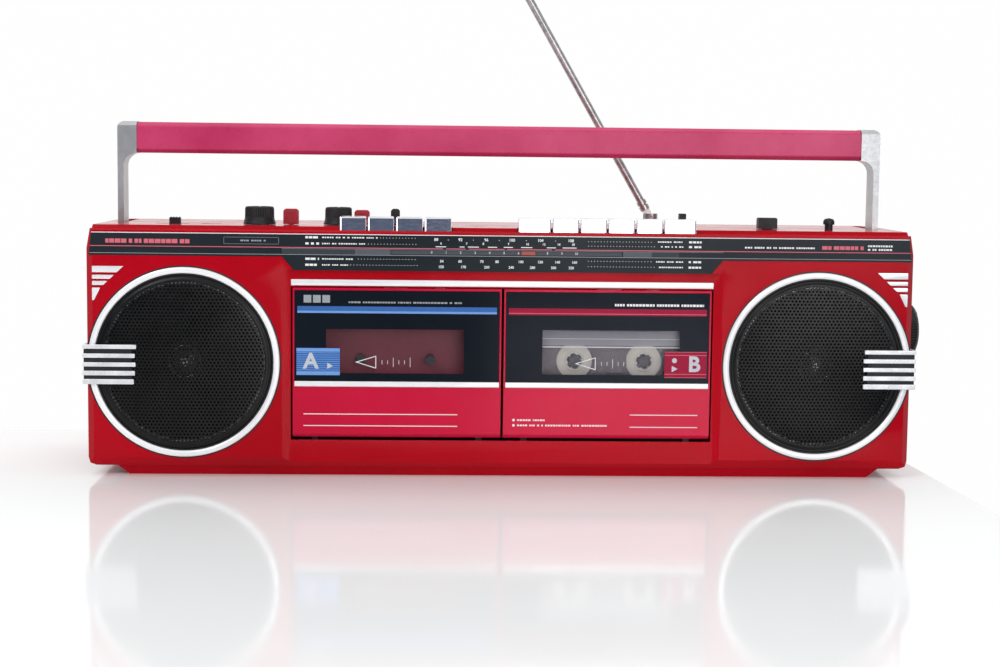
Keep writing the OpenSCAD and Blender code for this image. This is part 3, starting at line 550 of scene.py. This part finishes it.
KEYS = {
    "key_a_1": (-98.6, 15.7), "key_a_2": (-81.8, 15.7), "key_a_3": (-64.9, 16.0),
    "key_a_4": (-47.7, 16.1),
    "key_b_1": (8.9, 19.5), "key_b_2": (29.7, 15.7), "key_b_3": (46.6, 15.7),
    "key_b_4": (63.5, 15.7), "key_b_5": (80.5, 15.7), "key_b_6": (97.4, 19.2),
}
KEY_FRONT = -62.0
KEY_BACK = -47.0
KEY_TOP = 157.8
KEY_LOW = 145.8


def key_cap(node, x, width, mats):
    """Plated key cap: framed front, gently dished top, open underside."""
    verts, faces = [], []
    add_block(verts, faces, (x, KEY_FRONT, KEY_LOW), (x + width, KEY_BACK, KEY_TOP))
    obj = mesh_object(node + "_cap", verts, faces)
    bm = bmesh.new()
    bm.from_mesh(obj.data)
    bm.faces.ensure_lookup_table()
    front = [f for f in bm.faces if f.normal.y < -0.9]
    top = [f for f in bm.faces if f.normal.z > 0.9]
    bmesh.ops.inset_region(bm, faces=front, thickness=0.9 * MM, depth=0)
    for f in front:
        for v in f.verts:
            v.co.y += 0.35 * MM
    bmesh.ops.inset_region(bm, faces=top, thickness=1.1 * MM, depth=0)
    for f in top:
        for v in f.verts:
            v.co.z -= 0.25 * MM
    low = [f for f in bm.faces if f.normal.z < -0.9]
    bmesh.ops.inset_region(bm, faces=low, thickness=1.3 * MM, depth=0)
    for f in low:
        for v in f.verts:
            v.co.z += 7.5 * MM
    bmesh.ops.recalc_face_normals(bm, faces=bm.faces)
    bm.to_mesh(obj.data)
    bm.free()
    finish_piece(obj, mats["chrome"], node + "_body", bevel=0.28, segments=3,
                 angle=20)
    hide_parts(node)


def round_knob(node, x, r, mats):
    """Fluted knob with a flared skirt, a crowned top and a pointer rib."""
    profile = [(0, 0.3), (r, 0.3), (r, 0.8), (r - 0.35, 1.6), (r - 0.75, 3.0),
               (r - 0.95, 4.2), (r - 1.0, 4.6, True), (r - 1.1, 9.6, True), (r - 1.35, 10.4),
               (r - 1.9, 10.95), (r - 3.0, 11.05), (r - 3.6, 10.7), (0, 10.6)]
    obj = lathe(node + "_cap", profile, (x, KNOB_Y, DECK_Z), mats["black"], node + "_body",
                axis="Z", steps=288, flute=(36, 0.42))
    blocks(node + "_rib", [((x - 0.5, KNOB_Y + 2.5, DECK_Z + 10.5),
                            (x + 0.5, KNOB_Y + r - 1.4, DECK_Z + 11.15))],
           mats["white"], node + "_body", bevel=0.15)
    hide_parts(node)


def tuning_knob(mats):
    """Large side knob with a fluted edge and a domed face."""
    profile = [(0, 0.4), (16.6, 0.4), (16.9, 0.8), (17, 1.4, True), (17, 8.6, True),
               (16.6, 9.6), (15.9, 10.6), (14.6, 11.6), (12.4, 12.5), (9, 13.2), (4.5, 13.65),
               (0, 13.75)]
    obj = lathe("tuning_cap", profile, (250.4, -20.0, 88.0), mats["black"], "tuning",
                axis="X", steps=360, flute=(60, 0.45))
    lathe("tuning_dimple", [(0, 0.25), (1.6, 0.3), (2.3, 0.6), (2.8, 0.95), (2.9, 0.2)],
          (263.1, -20.0, 97.0), mats["black"], "tuning", axis="X", steps=40)
    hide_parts("tuning_knob")


def ridged_slider(node, low, high, count, along, material, body):
    """Slider cap with raised grip ridges across its top."""
    boxes = [(low, (high[0], high[1], high[2] - 0.5))]
    span = high[along] - low[along]
    step = span / count
    for i in range(count):
        a = list(low)
        b = list(high)
        a[along] = low[along] + step * (i + 0.22)
        b[along] = low[along] + step * (i + 0.78)
        a[2] = high[2] - 0.9
        boxes.append((tuple(a), tuple(b)))
    return blocks(node, boxes, material, body, bevel=0.22)


def red_slider(node, x, tall, mats):
    """Rounded slider tab with a raised arch on its front and a stem in the deck slot."""
    top = DECK_Z + tall
    low = DECK_Z + 0.3
    outline = [(x - 4.7, low), (x + 4.7, low), (x + 4.7, top - 1.6), (x + 4.2, top - 0.5),
               (x + 3.1, top), (x - 3.1, top), (x - 4.2, top - 0.5), (x - 4.7, top - 1.6)]
    cap = prism(node + "_cap", outline, -32.6, -27.0, mats["tab"], node + "_body",
                bevel=0.5, segments=3)
    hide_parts(node)
    arch = [(x - 2.6, low + 0.9), (x - 1.7, low + 0.9), (x - 1.7, top - 3.2),
            (x - 1.2, top - 2.6), (x + 1.2, top - 2.6), (x + 1.7, top - 3.2),
            (x + 1.7, low + 0.9), (x + 2.6, low + 0.9), (x + 2.6, top - 2.6),
            (x + 1.7, top - 1.7), (x - 1.7, top - 1.7), (x - 2.6, top - 2.6)]
    prism(node + "_arch", arch, -32.95, -32.5, mats["tab"], node + "_body",
          bevel=0.12, segments=2)
    blocks(node + "_stem", [((x - 1.2, -32.5, DECK_Z - SLOT_DEPTH), (x + 1.2, -27.2, DECK_Z + 0.6))],
           mats["tab"], node + "_body", bevel=0.2)


def controls(mats):
    """Everything on the control deck."""
    for node, (x, width) in KEYS.items():
        key_cap(node, x, width, mats)
    round_knob("volume_knob", -149.6, 10.0, mats)
    round_knob("tone_knob", -101.0, 9.3, mats)
    tuning_knob(mats)
    red_slider("red_slider_left", -130.2, 9.8, mats)
    red_slider("red_slider_right", -86.5, 9.4, mats)
    band = ridged_slider("band_slider_cap", (-204.8, -32.2, DECK_Z - SLOT_DEPTH),
                         (-198.0, -27.8, DECK_Z + 4.0), 4, 0, mats["black"],
                         "band_slider_body")
    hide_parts("band_slider")
    dub = ridged_slider("dubbing_slider_cap", (159.5, -34.0, DECK_Z + 0.3),
                        (171.3, -26.0, DECK_Z + 7.2), 6, 0, mats["black"],
                        "dubbing_slider_body")
    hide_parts("dubbing_slider")
    blocks("dubbing_slider_stem", [((162.4, -31.2, DECK_Z - SLOT_DEPTH), (168.4, -28.8, DECK_Z + 0.5))],
           mats["black"], "dubbing_slider_body", bevel=0.2)
    dress("monitor_lever", mats["black"], 0.5, 3)
    dress("mode_switch", mats["black"], 0.5, 3)
    dress("reset_pin", mats["black"], 0.4, 3)


# ---------------------------------------------------------------- dial

def dotted(x0, x1, z, pitch=1.9, size=0.36):
    """Dotted leader line."""
    count = int((x1 - x0) / pitch)
    return [(x0 + i * pitch, z - size / 2, x0 + i * pitch + size, z + size / 2)
            for i in range(count)]


def small_marks(x0, x1, z, height, seed, longest=1.6):
    """Row of plain short bars in place of fine print."""
    chooser = random.Random(seed)
    rects = []
    x = x0
    while x < x1 - 0.3:
        width = min(chooser.uniform(0.45 * longest, longest), x1 - x)
        rects.append((x, z - height / 2, x + width, z + height / 2))
        x += width + chooser.choice((0.4, 0.4, 0.4, 0.4, 1.4))
    return rects


def dial_lines(y, mats):
    """Long printed lines and the grey bands of the pointer track."""
    white = [(-246.4, 146.95, 246.4, 147.4)]
    pink = [(-247.2, 138.9, -64.0, 139.35), (66.0, 138.9, 247.2, 139.35)]
    for a, b in ((-64, -36.4), (-34.6, -23), (-21, 0.5), (2.0, 29), (31, 66)):
        pink.append((a, 138.9, b, 139.35))
    grey = [(-247.6, 134.75, 247.6, 135.05), (-133.0, 138.35, 133.0, 138.5)]
    strip = [(-89.3, 135.2, -68.05, 138.3), (72.05, 135.2, 89.7, 138.3)]
    outer_strip = [(-133.0, 135.2, -89.4, 138.3), (89.8, 135.2, 106.0, 138.3)]
    prints("dial_white_line", white, y, mats["white"], "cabinet")
    prints("dial_pink_line", pink, y, mats["pink"], "cabinet")
    prints("dial_grey_line", grey, y, mats["soft_grey"], "cabinet")
    prints("dial_strip", strip, y, mats["grey"], "cabinet")
    prints("dial_strip_outer", outer_strip, y, mats["mid_grey"], "cabinet")


def dial_numbers(y, mats):
    """Generic scale numbers in five rows."""
    upper = [("88", -40.6), ("92", -26.1), ("96", -10.5), ("100", 5.0), ("104", 22.1),
             ("108", 40.5)]
    lower = [("6", -37.7), ("7", -22.3), ("8", -12.3), ("9", 2.9), ("10", 14.3), ("12", 24.2),
             ("14", 33.2), ("18", 41.9)]
    count = [(str(i), -43.3 + i * 8.73) for i in range(11)]
    medium = [("54", -37.2), ("60", -26.2), ("70", -13.1), ("80", -3.9), ("100", 10.4),
              ("120", 22.1), ("140", 32.5), ("160", 42.8)]
    long_wave = [("150", -37.6), ("170", -24.2), ("200", -10.1), ("240", 4.7), ("280", 17.5),
                 ("300", 30.2), ("350", 40.9)]
    items = [(t, x, 144.6, 1.8) for t, x in upper]
    items += [(t, x, 142.3, 1.4) for t, x in lower]
    items += [(t, x, 131.6, 1.6) for t, x in medium]
    items += [(t, x, 128.2, 1.6) for t, x in long_wave]
    numerals("dial_numbers", items, y - 0.01, mats["white"], "cabinet",
             bold=0.05)
    numerals("dial_counts", [(t, x, 136.8, 1.5) for t, x in count], MID_Y - 0.45,
             mats["white"], "cabinet", bold=0.04)


def dial_leaders(y, mats):
    """Dashes between the scales and dotted leader lines."""
    dashes = [(-41.0, 140.1, -34.6, 140.6), (-26.5, 140.1, -23.6, 140.6),
              (-21.5, 140.1, -15.0, 140.6), (-9.5, 140.1, -4.0, 140.6), (0.0, 140.1, 5.6, 140.6),
              (10.5, 140.1, 17.2, 140.6), (26.0, 140.1, 31.5, 140.6), (35.5, 140.1, 44.0, 140.6)]
    dashes += [(x - 0.2, 144.3, x + 0.2, 144.7) for x in (-33.4, -18.3, -2.7, 13.6, 31.3)]
    dashes += dotted(-74.3, -50.0, 145.3) + dotted(-81.5, -50.0, 141.6)
    dashes += dotted(-87.5, -50.0, 132.5) + dotted(-92.0, -50.0, 128.9)
    dashes += dotted(51.0, 92.0, 144.3) + dotted(51.0, 94.0, 141.6)
    dashes += dotted(51.0, 91.0, 132.5) + dotted(51.0, 93.0, 129.2)
    prints("dial_dashes", dashes, y - 0.01, mats["white"], "cabinet")


def dial_marks(y, mats):
    """Plain bars in place of the printed words, and the lamp frame."""
    fine = []
    for seed, z, end in ((1, 145.3, -75.5), (3, 141.6, -82.7), (5, 132.4, -89.3),
                         (7, 128.8, -93.4)):
        fine += small_marks(-119.0, -110.8, z, 1.3, seed, 3.4)
        fine += small_marks(-109.0, end, z, 0.8, seed + 1, 1.4)
    for seed, z, start in ((9, 144.5, 93.1), (11, 141.6, 95.0), (13, 132.5, 92.2),
                           (15, 129.2, 94.0)):
        fine += small_marks(start, 108.6, z, 0.8, seed, 1.4)
        fine += small_marks(112.0, 119.6, z, 1.2, seed + 1, 2.6)
    fine += small_marks(146.0, 188.6, 141.6, 1.0, 17, 1.6)
    fine += small_marks(221.0, 236.0, 143.2, 1.1, 18, 1.7)
    fine += small_marks(221.0, 236.0, 141.0, 1.1, 19, 1.7)
    prints("dial_fine_marks", fine, y - 0.01, mats["white"], "cabinet")
    frame_bars = [(-167.7, 144.9, -134.9, 145.05), (-167.7, 140.9, -134.9, 141.05),
                  (-167.7, 140.9, -167.55, 145.05), (-135.05, 140.9, -134.9, 145.05)]
    frame_bars += small_marks(-157.7, -142.2, 143.0, 0.9, 20, 1.7)
    bold = small_marks(-238.0, -188.0, 142.2, 2.5, 21, 3.6)
    bold += small_marks(193.0, 219.4, 141.9, 2.2, 22, 3.4)
    prints("dial_bold_marks", bold, y - 0.01, mats["pink"], "cabinet")
    prints("dial_lamp_frame", frame_bars, y - 0.01, mats["soft_grey"], "cabinet")


def dial(mats):
    """Dial panel with its prints, the pointer track and the pointer."""
    y = FRONT_Y + 0.04
    dress("dial_panel", mats["dial"])
    dial_lines(y, mats)
    dial_numbers(y, mats)
    dial_leaders(y, mats)
    dial_marks(y, mats)
    blocks("dial_strip_left", [((-67.9, MID_Y - 0.4, 135.35), (71.9, MID_Y + 0.1, 138.25))],
           mats["grey"], "cabinet", bevel=0.05, segments=1)
    dress("dial_pointer", mats["pointer"], 0.2, 2)


# ---------------------------------------------------------------- cassette doors

DECKS = {
    "a": dict(x0=-126.6, x1=-0.8, clear=(-106.5, 63.4, -23.3, 90.2), stripe="blue",
              stripe_light="pale_blue", badge=(-124.3, 62.0, -98.2, 78.6), gauge=-89.0,
              stripe_z=(99.8, 103.9), ticks=(2.4, 2.4, 5.6, 2.4, 2.4, 5.6)),
    "b": dict(x0=0.8, x1=126.6, clear=(24.2, 63.4, 107.8, 90.5), stripe="crimson",
              stripe_light="pink", badge=(98.7, 61.9, 124.4, 77.8), gauge=44.0,
              stripe_z=(99.5, 103.6), ticks=(2.4, 2.4, 5.6, 2.4, 2.4)),
}


def word_lines(name, x0, x1, z, height, body, mats):
    """Two thin parallel lines in place of a large word on the lower door face."""
    half = height / 2
    rects = [(x0, z + half - 0.5, x1, z + half), (x0, z - half, x1, z - half + 0.5)]
    prints(name, rects, DOOR_Y - PRINT_GAP, mats["white"], body)


def door_lower(deck, mats):
    """Printed marks on the red lower face of a door."""
    body = "door_" + deck
    if deck == "a":
        word_lines("door_marks_a", -120.0, -27.0, 34.9, 7.6, body, mats)
        return
    word_lines("door_marks_b", 78.0, 119.4, 35.2, 8.0, body, mats)
    dots = []
    for z in (35.4, 32.2):
        dots.append([(7.2 + 0.8 * math.cos(math.radians(a)), z + 0.8 * math.sin(math.radians(a)))
                     for a in range(0, 360, 20)])
    printed_shapes("door_dots_b", dots, DOOR_Y - PRINT_GAP, mats["white"], body)
    fine = small_marks(9.4, 27.0, 35.4, 1.0, 41) + small_marks(9.4, 64.3, 32.2, 1.0, 42)
    prints("door_fine_b", fine, DOOR_Y - PRINT_GAP, mats["white"], body)


def badge(deck, d, front, mats):
    """Striped badge with the deck letter and plain transport symbols."""
    body = "door_" + deck
    bx0, bz0, bx1, bz1 = d["badge"]
    prints("pane_badge_" + deck, [(bx0, bz0, bx1, bz1)], front, mats[d["stripe"]], body)
    if deck == "a":
        rules = [(bx0, bz1 - 2.2, bx1, bz1 - 0.2), (bx0, bz0 + 0.2, bx1, bz0 + 2.4)]
        rules += [(bx0, bz0 + 3.1 + 1.3 * i, bx1, bz0 + 3.45 + 1.3 * i) for i in range(9)]
    else:
        rules = [(bx0, bz1 - 2.3, bx1, bz1 - 1.9), (bx0, bz0 + 2.0, bx1, bz0 + 2.4),
                 (bx0, bz1 - 0.3, bx1, bz1), (bx0, bz0, bx1, bz0 + 0.3)]
    prints("pane_badge_rules_" + deck, rules, front - 0.02, mats[d["stripe_light"]], body)
    letter_x = bx0 + 8.6 if deck == "a" else bx1 - 7.6
    numerals("pane_letter_" + deck, [(deck.upper(), letter_x, (bz0 + bz1) / 2, 9.6)],
             front - 0.04, mats["letter"], body, bold=0.42)
    mark_x = bx1 - 6.0 if deck == "a" else bx0 + 6.0
    mz = (bz0 + bz1) / 2
    shapes = [[(mark_x - 1.6, mz - 4.4), (mark_x + 2.0, mz - 2.5), (mark_x - 1.6, mz - 0.6)]]
    if deck == "b":
        shapes.append([(mark_x + 1.5 * math.cos(math.radians(a)),
                        mz + 2.6 + 1.5 * math.sin(math.radians(a))) for a in range(0, 360, 15)])
    printed_shapes("pane_symbols_" + deck, shapes, front - 0.04, mats["letter"], body)


def door(deck, mats):
    """Frame, smoked pane with its printed mask, bright strip and printed graphics."""
    d = DECKS[deck]
    body = "door_" + deck
    dress("door_%s_frame" % deck, mats["door_red"], 0.35, 2)
    dress("door_%s_window" % deck, mats["pane"])
    # The door strip's near-white is partly painted reflection of the window.
    dress("door_%s_strip" % deck, mats["strip"], 0.2, 2)
    dress("cassette_holder_" + deck, mats["shade"], 0.2, 2)
    x0, x1 = d["x0"] + 1.2, d["x1"] - 1.2
    z0, z1 = 58.6, 113.4
    c0, b0, c1, b1 = d["clear"]
    y = PANE_Y - PRINT_GAP
    mask = [(x0, z0, x1, b0), (x0, b1, x1, z1), (x0, b0, c0, b1), (c1, b0, x1, b1)]
    prints("pane_mask_" + deck, mask, y, mats["mask"], body)
    front = PANE_Y - 2 * PRINT_GAP
    s0, s1 = d["stripe_z"]
    sx0, sx1 = x0 + 1.6, x1 - 1.6
    prints("pane_stripe_" + deck, [(sx0, s0, sx1, s1)], front, mats[d["stripe"]], body)
    low, high = (0.0, 1.3) if deck == "a" else (0.8, 1.25)
    prints("pane_stripe_light_" + deck, [(sx0, s0 + low, sx1, s0 + high)], front - 0.02,
           mats[d["stripe_light"]], body)
    badge(deck, d, front, mats)
    g = d["gauge"]
    arrow = [[(g, 70.2), (g + 12.7, 74.1), (g + 12.7, 73.65), (g + 1.5, 70.2)],
             [(g, 70.2), (g + 1.5, 70.2), (g + 12.7, 66.75), (g + 12.7, 66.3)],
             [(g + 12.25, 66.6), (g + 12.7, 66.5), (g + 12.7, 73.9), (g + 12.25, 73.7)]]
    printed_shapes("pane_arrow_" + deck, arrow, front, mats["white"], body)
    ticks = []
    for i, tall in enumerate(d["ticks"]):
        x = g + 16.2 + i * 3.4
        ticks.append((x - 0.12, 70.2 - tall / 2, x + 0.12, 70.2 + tall / 2))
    prints("pane_ticks_" + deck, ticks, front, mats["white"], body)
    if deck == "a":
        fine = small_marks(-93.0, -23.6, 106.4, 1.0, 31, 1.9)
        squares = [(-120.0 + 5.6 * i, 106.0, -115.4 + 5.6 * i, 110.6) for i in range(3)]
        prints("pane_squares_a", squares, front, mats["soft_grey"], body)
    else:
        fine = small_marks(67.8, 122.0, 106.0, 1.4, 32, 2.1)
    prints("pane_fine_marks_" + deck, fine, front,
           mats["soft_grey" if deck == "a" else "white"], body)
    door_lower(deck, mats)


def empty_bay(mats):
    """Red inner wall seen through the empty holder of deck A."""
    x0, x1 = -115.6, -14.4
    blocks("bay_back_a", [((x0, -48.4, 41.0), (x1, -47.5, 90.0))], mats["bay_red"],
           "door_a", bevel=0.2)


def reel(tag, hub_x, pack, mats):
    """Tape pack and toothed hub of one reel; pack is the radius of the wound tape."""
    body = "hub_" + tag
    tape_profile = [(11.2, -1.8), (pack, -1.8), (pack, 1.8), (11.2, 1.8)]
    lathe("tape_pack_" + tag, tape_profile + [tape_profile[0]], (hub_x, TAPE_Y, REEL_Z),
          mats["tape"], body, steps=96)
    hub_profile = [(4.95, -3.7), (5.5, -3.8), (5.9, -3.5), (6.1, -2.6), (10.4, -2.6),
                   (10.9, -2.4), (10.9, 2.5), (6.1, 2.6), (4.95, 3.4)]
    hub = lathe("hub_disc_" + tag, hub_profile + [hub_profile[0]], (hub_x, TAPE_Y, REEL_Z),
                mats["hub"], body, steps=96)
    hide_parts("cassette_hub_" + tag)
    teeth_v, teeth_f = [], []
    for k in range(6):
        n = len(teeth_v)
        add_block(teeth_v, teeth_f, (4.1, -3.4, -0.65), (5.4, 3.4, 0.65))
        a = math.radians(60 * k + 12)
        for i in range(n, len(teeth_v)):
            px, py, pz = teeth_v[i]
            teeth_v[i] = (hub_x + px * math.cos(a) - pz * math.sin(a), TAPE_Y + py,
                          REEL_Z + px * math.sin(a) + pz * math.cos(a))
    teeth = mesh_object("hub_teeth_" + tag, teeth_v, teeth_f)
    tidy_normals(teeth)
    finish_piece(teeth, mats["hub"], body, bevel=0.2, segments=2)


def cassette(mats):
    """Clear cassette in deck B: shell, label field, tape packs and toothed hubs."""
    cx = DECK_B_X
    lo, hi = 40.6, 104.4
    y0, y1 = TAPE_Y - 4.35, TAPE_Y + 4.35
    half = 50.2
    obj = blocks("tape_shell", [((cx - half, y0, lo), (cx + half, y1, hi))], mats["shell"],
                 "door_b", bevel=1.2, segments=3)
    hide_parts("cassette_shell")
    thick = [(cx - 33, hi), (cx - 31, hi - 15), (cx + 31, hi - 15), (cx + 33, hi)]
    prism("tape_shell_head", thick, y0 - 1.4, y1 + 1.4, mats["shell"], "door_b",
          bevel=0.4)
    front = y0 - 2 * PRINT_GAP
    prints("tape_label_field", [(cx - 43, 80.6, cx + 43, 101.0)], front, mats["label"],
           "door_b")
    lines = [(cx - 43.4, 79.3, cx + 43.4, 80.1), (cx - 43.0, 84.6, cx + 43.0, 84.9)]
    prints("tape_label_line", lines, front - PRINT_GAP, mats["white"], "door_b")
    window = [(cx - 10.5, 64.0, cx + 10.5, 79.0)]
    prints("tape_window", window, y0 + 1.0, mats["tape"], "door_b")
    reel("left", cx - REEL_GAP / 2, 20.5, mats)
    reel("right", cx + REEL_GAP / 2, 14.0, mats)


# ---------------------------------------------------------------- cabinet, handle, antenna

def cabinet(mats):
    """Both shell halves, trims, handle, antenna and inner pieces."""
    dress("front_cabinet", mats["red"], 0.5, 3)
    dress("rear_cabinet", mats["red"], 0.6, 3)
    dress("battery_door", mats["red"], 0.3, 2)
    dress("mains_inlet", mats["black"], 0.3, 2)
    dress("cabinet_screws", mats["steel"], 0.15, 2)
    # Corner trims and the deck trim bar share the strip finish, whose near-white base is partly painted
    # reflection.
    dress("corner_trims", mats["strip"], 0.3, 2)
    dress("deck_trim_bar", mats["strip"], 0.25, 3)
    dress("mechanism_plate", mats["shade"])
    dress("main_board", mats["board"], 0.2, 1)
    dress("tape_heads", mats["steel"], 0.3, 2)
    for node in ("motor", "flywheel_a", "flywheel_b", "speaker_drivers"):
        dress(node, mats["steel"], 0.3, 2)
    dress("speaker_cones", mats["cone"])
    for node in ("spindle_a_left", "spindle_a_right", "spindle_b_left", "spindle_b_right"):
        dress(node, mats["spindle"], 0.3, 2)
    dress("handle_grip", mats["grip"], 0.7, 3)
    dress("handle_arms", mats["silver"], 0.8, 3)
    dress("antenna_swivel", mats["rod"], 0.3, 2)
    dress("antenna_tube_1", mats["rod"], 0.25, 2)
    dress("antenna_tube_2", mats["rod"], 0.4, 3)


# ---------------------------------------------------------------- scene

def stage(mats):
    """Plain white table top."""
    verts = [(-1600, 118, -0.02), (-1600, -2600, -0.02), (374, -2600, -0.02), (260, 118, -0.02)]
    floor = mesh_object("floor", verts, [(0, 1, 2, 3)])
    floor.data.materials.append(mats["table"])


def area_light(name, at, target, size, power, colour=(1, 1, 1)):
    """Soft rectangular studio light; places in metres."""
    data = bpy.data.lights.new(name, "AREA")
    data.shape = "RECTANGLE"
    data.size, data.size_y = size
    data.energy = power
    data.color = colour
    obj = bpy.data.objects.new(name, data)
    obj.location = at
    obj.rotation_euler = (Vector(target) - Vector(at)).to_track_quat("-Z", "Y").to_euler()
    bpy.context.scene.collection.objects.link(obj)


def studio_world():
    """Bright behind and above the object, dim and slightly blue in front of it."""
    world = bpy.data.worlds.new("studio")
    world.use_nodes = True
    tree = world.node_tree
    coord = tree.nodes.new("ShaderNodeTexCoord")
    split = tree.nodes.new("ShaderNodeSeparateXYZ")
    tree.links.new(coord.outputs["Generated"], split.inputs["Vector"])
    back = remap(tree, split.outputs["Y"], 0.0, 1.0, -0.15, 0.35)
    top = remap(tree, split.outputs["Z"], 0.0, 0.8, 0.25, 0.75)
    either = tree.nodes.new("ShaderNodeMath")
    either.operation = "MAXIMUM"
    tree.links.new(back, either.inputs[0])
    tree.links.new(top, either.inputs[1])
    colour = ramp(tree, either.outputs["Value"],
                  [(0.0, (0.10, 0.12, 0.18)), (1.0, (1.0, 0.995, 0.995))])
    tree.links.new(colour, tree.nodes["Background"].inputs["Color"])
    tree.nodes["Background"].inputs["Strength"].default_value = 1.0
    bpy.context.scene.world = world


def lighting():
    """Soft light from the front left and above, and a tall bright window at the front right."""
    studio_world()
    area_light("key", (-1.1, -1.5, 1.5), (0, 0, 0.1), (1.0, 0.8), 14)
    area_light("window", (0.66, -1.9, 0.52), (0.66, 0, 0.52), (1.2, 0.96), 15,
               (1.0, 0.995, 0.99))
    area_light("top", (0.0, 0.2, 1.9), (0, 0, 0.1), (2.2, 1.2), 6)
    bpy.context.scene.view_settings.view_transform = "Standard"


def camera():
    """Camera at the photograph's place and angle."""
    yaw, pitch, roll = (math.radians(a) for a in (CAMERA_YAW, CAMERA_PITCH, CAMERA_ROLL))
    forward = Vector((math.sin(yaw) * math.cos(pitch), math.cos(yaw) * math.cos(pitch),
                      math.sin(pitch)))
    level = Vector((math.cos(yaw), -math.sin(yaw), 0))
    above = level.cross(forward)
    right = level * math.cos(roll) + above * math.sin(roll)
    up = above * math.cos(roll) - level * math.sin(roll)
    data = bpy.data.cameras.new("camera")
    data.lens = CAMERA_LENS
    data.sensor_width = 36.0
    data.clip_start = 0.01
    obj = bpy.data.objects.new("camera", data)
    matrix = Matrix((right, up, -forward)).transposed().to_4x4()
    matrix.translation = Vector(CAMERA_AT) * MM
    obj.matrix_world = matrix
    bpy.context.scene.collection.objects.link(obj)
    bpy.context.scene.camera = obj


def main():
    """Builds every piece on the loaded frame."""
    mats = make_materials()
    camera()
    lighting()
    stage(mats)
    cabinet(mats)
    for side in (-1, 1):
        speaker(side, mats)
        clips(side, mats)
    sheets = [grille(side, mats) for side in (-1, 1)]
    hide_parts("speaker_grilles")
    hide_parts("speaker_rings")
    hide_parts("speaker_clips")
    controls(mats)
    dial(mats)
    door("a", mats)
    door("b", mats)
    empty_bay(mats)
    cassette(mats)


main()
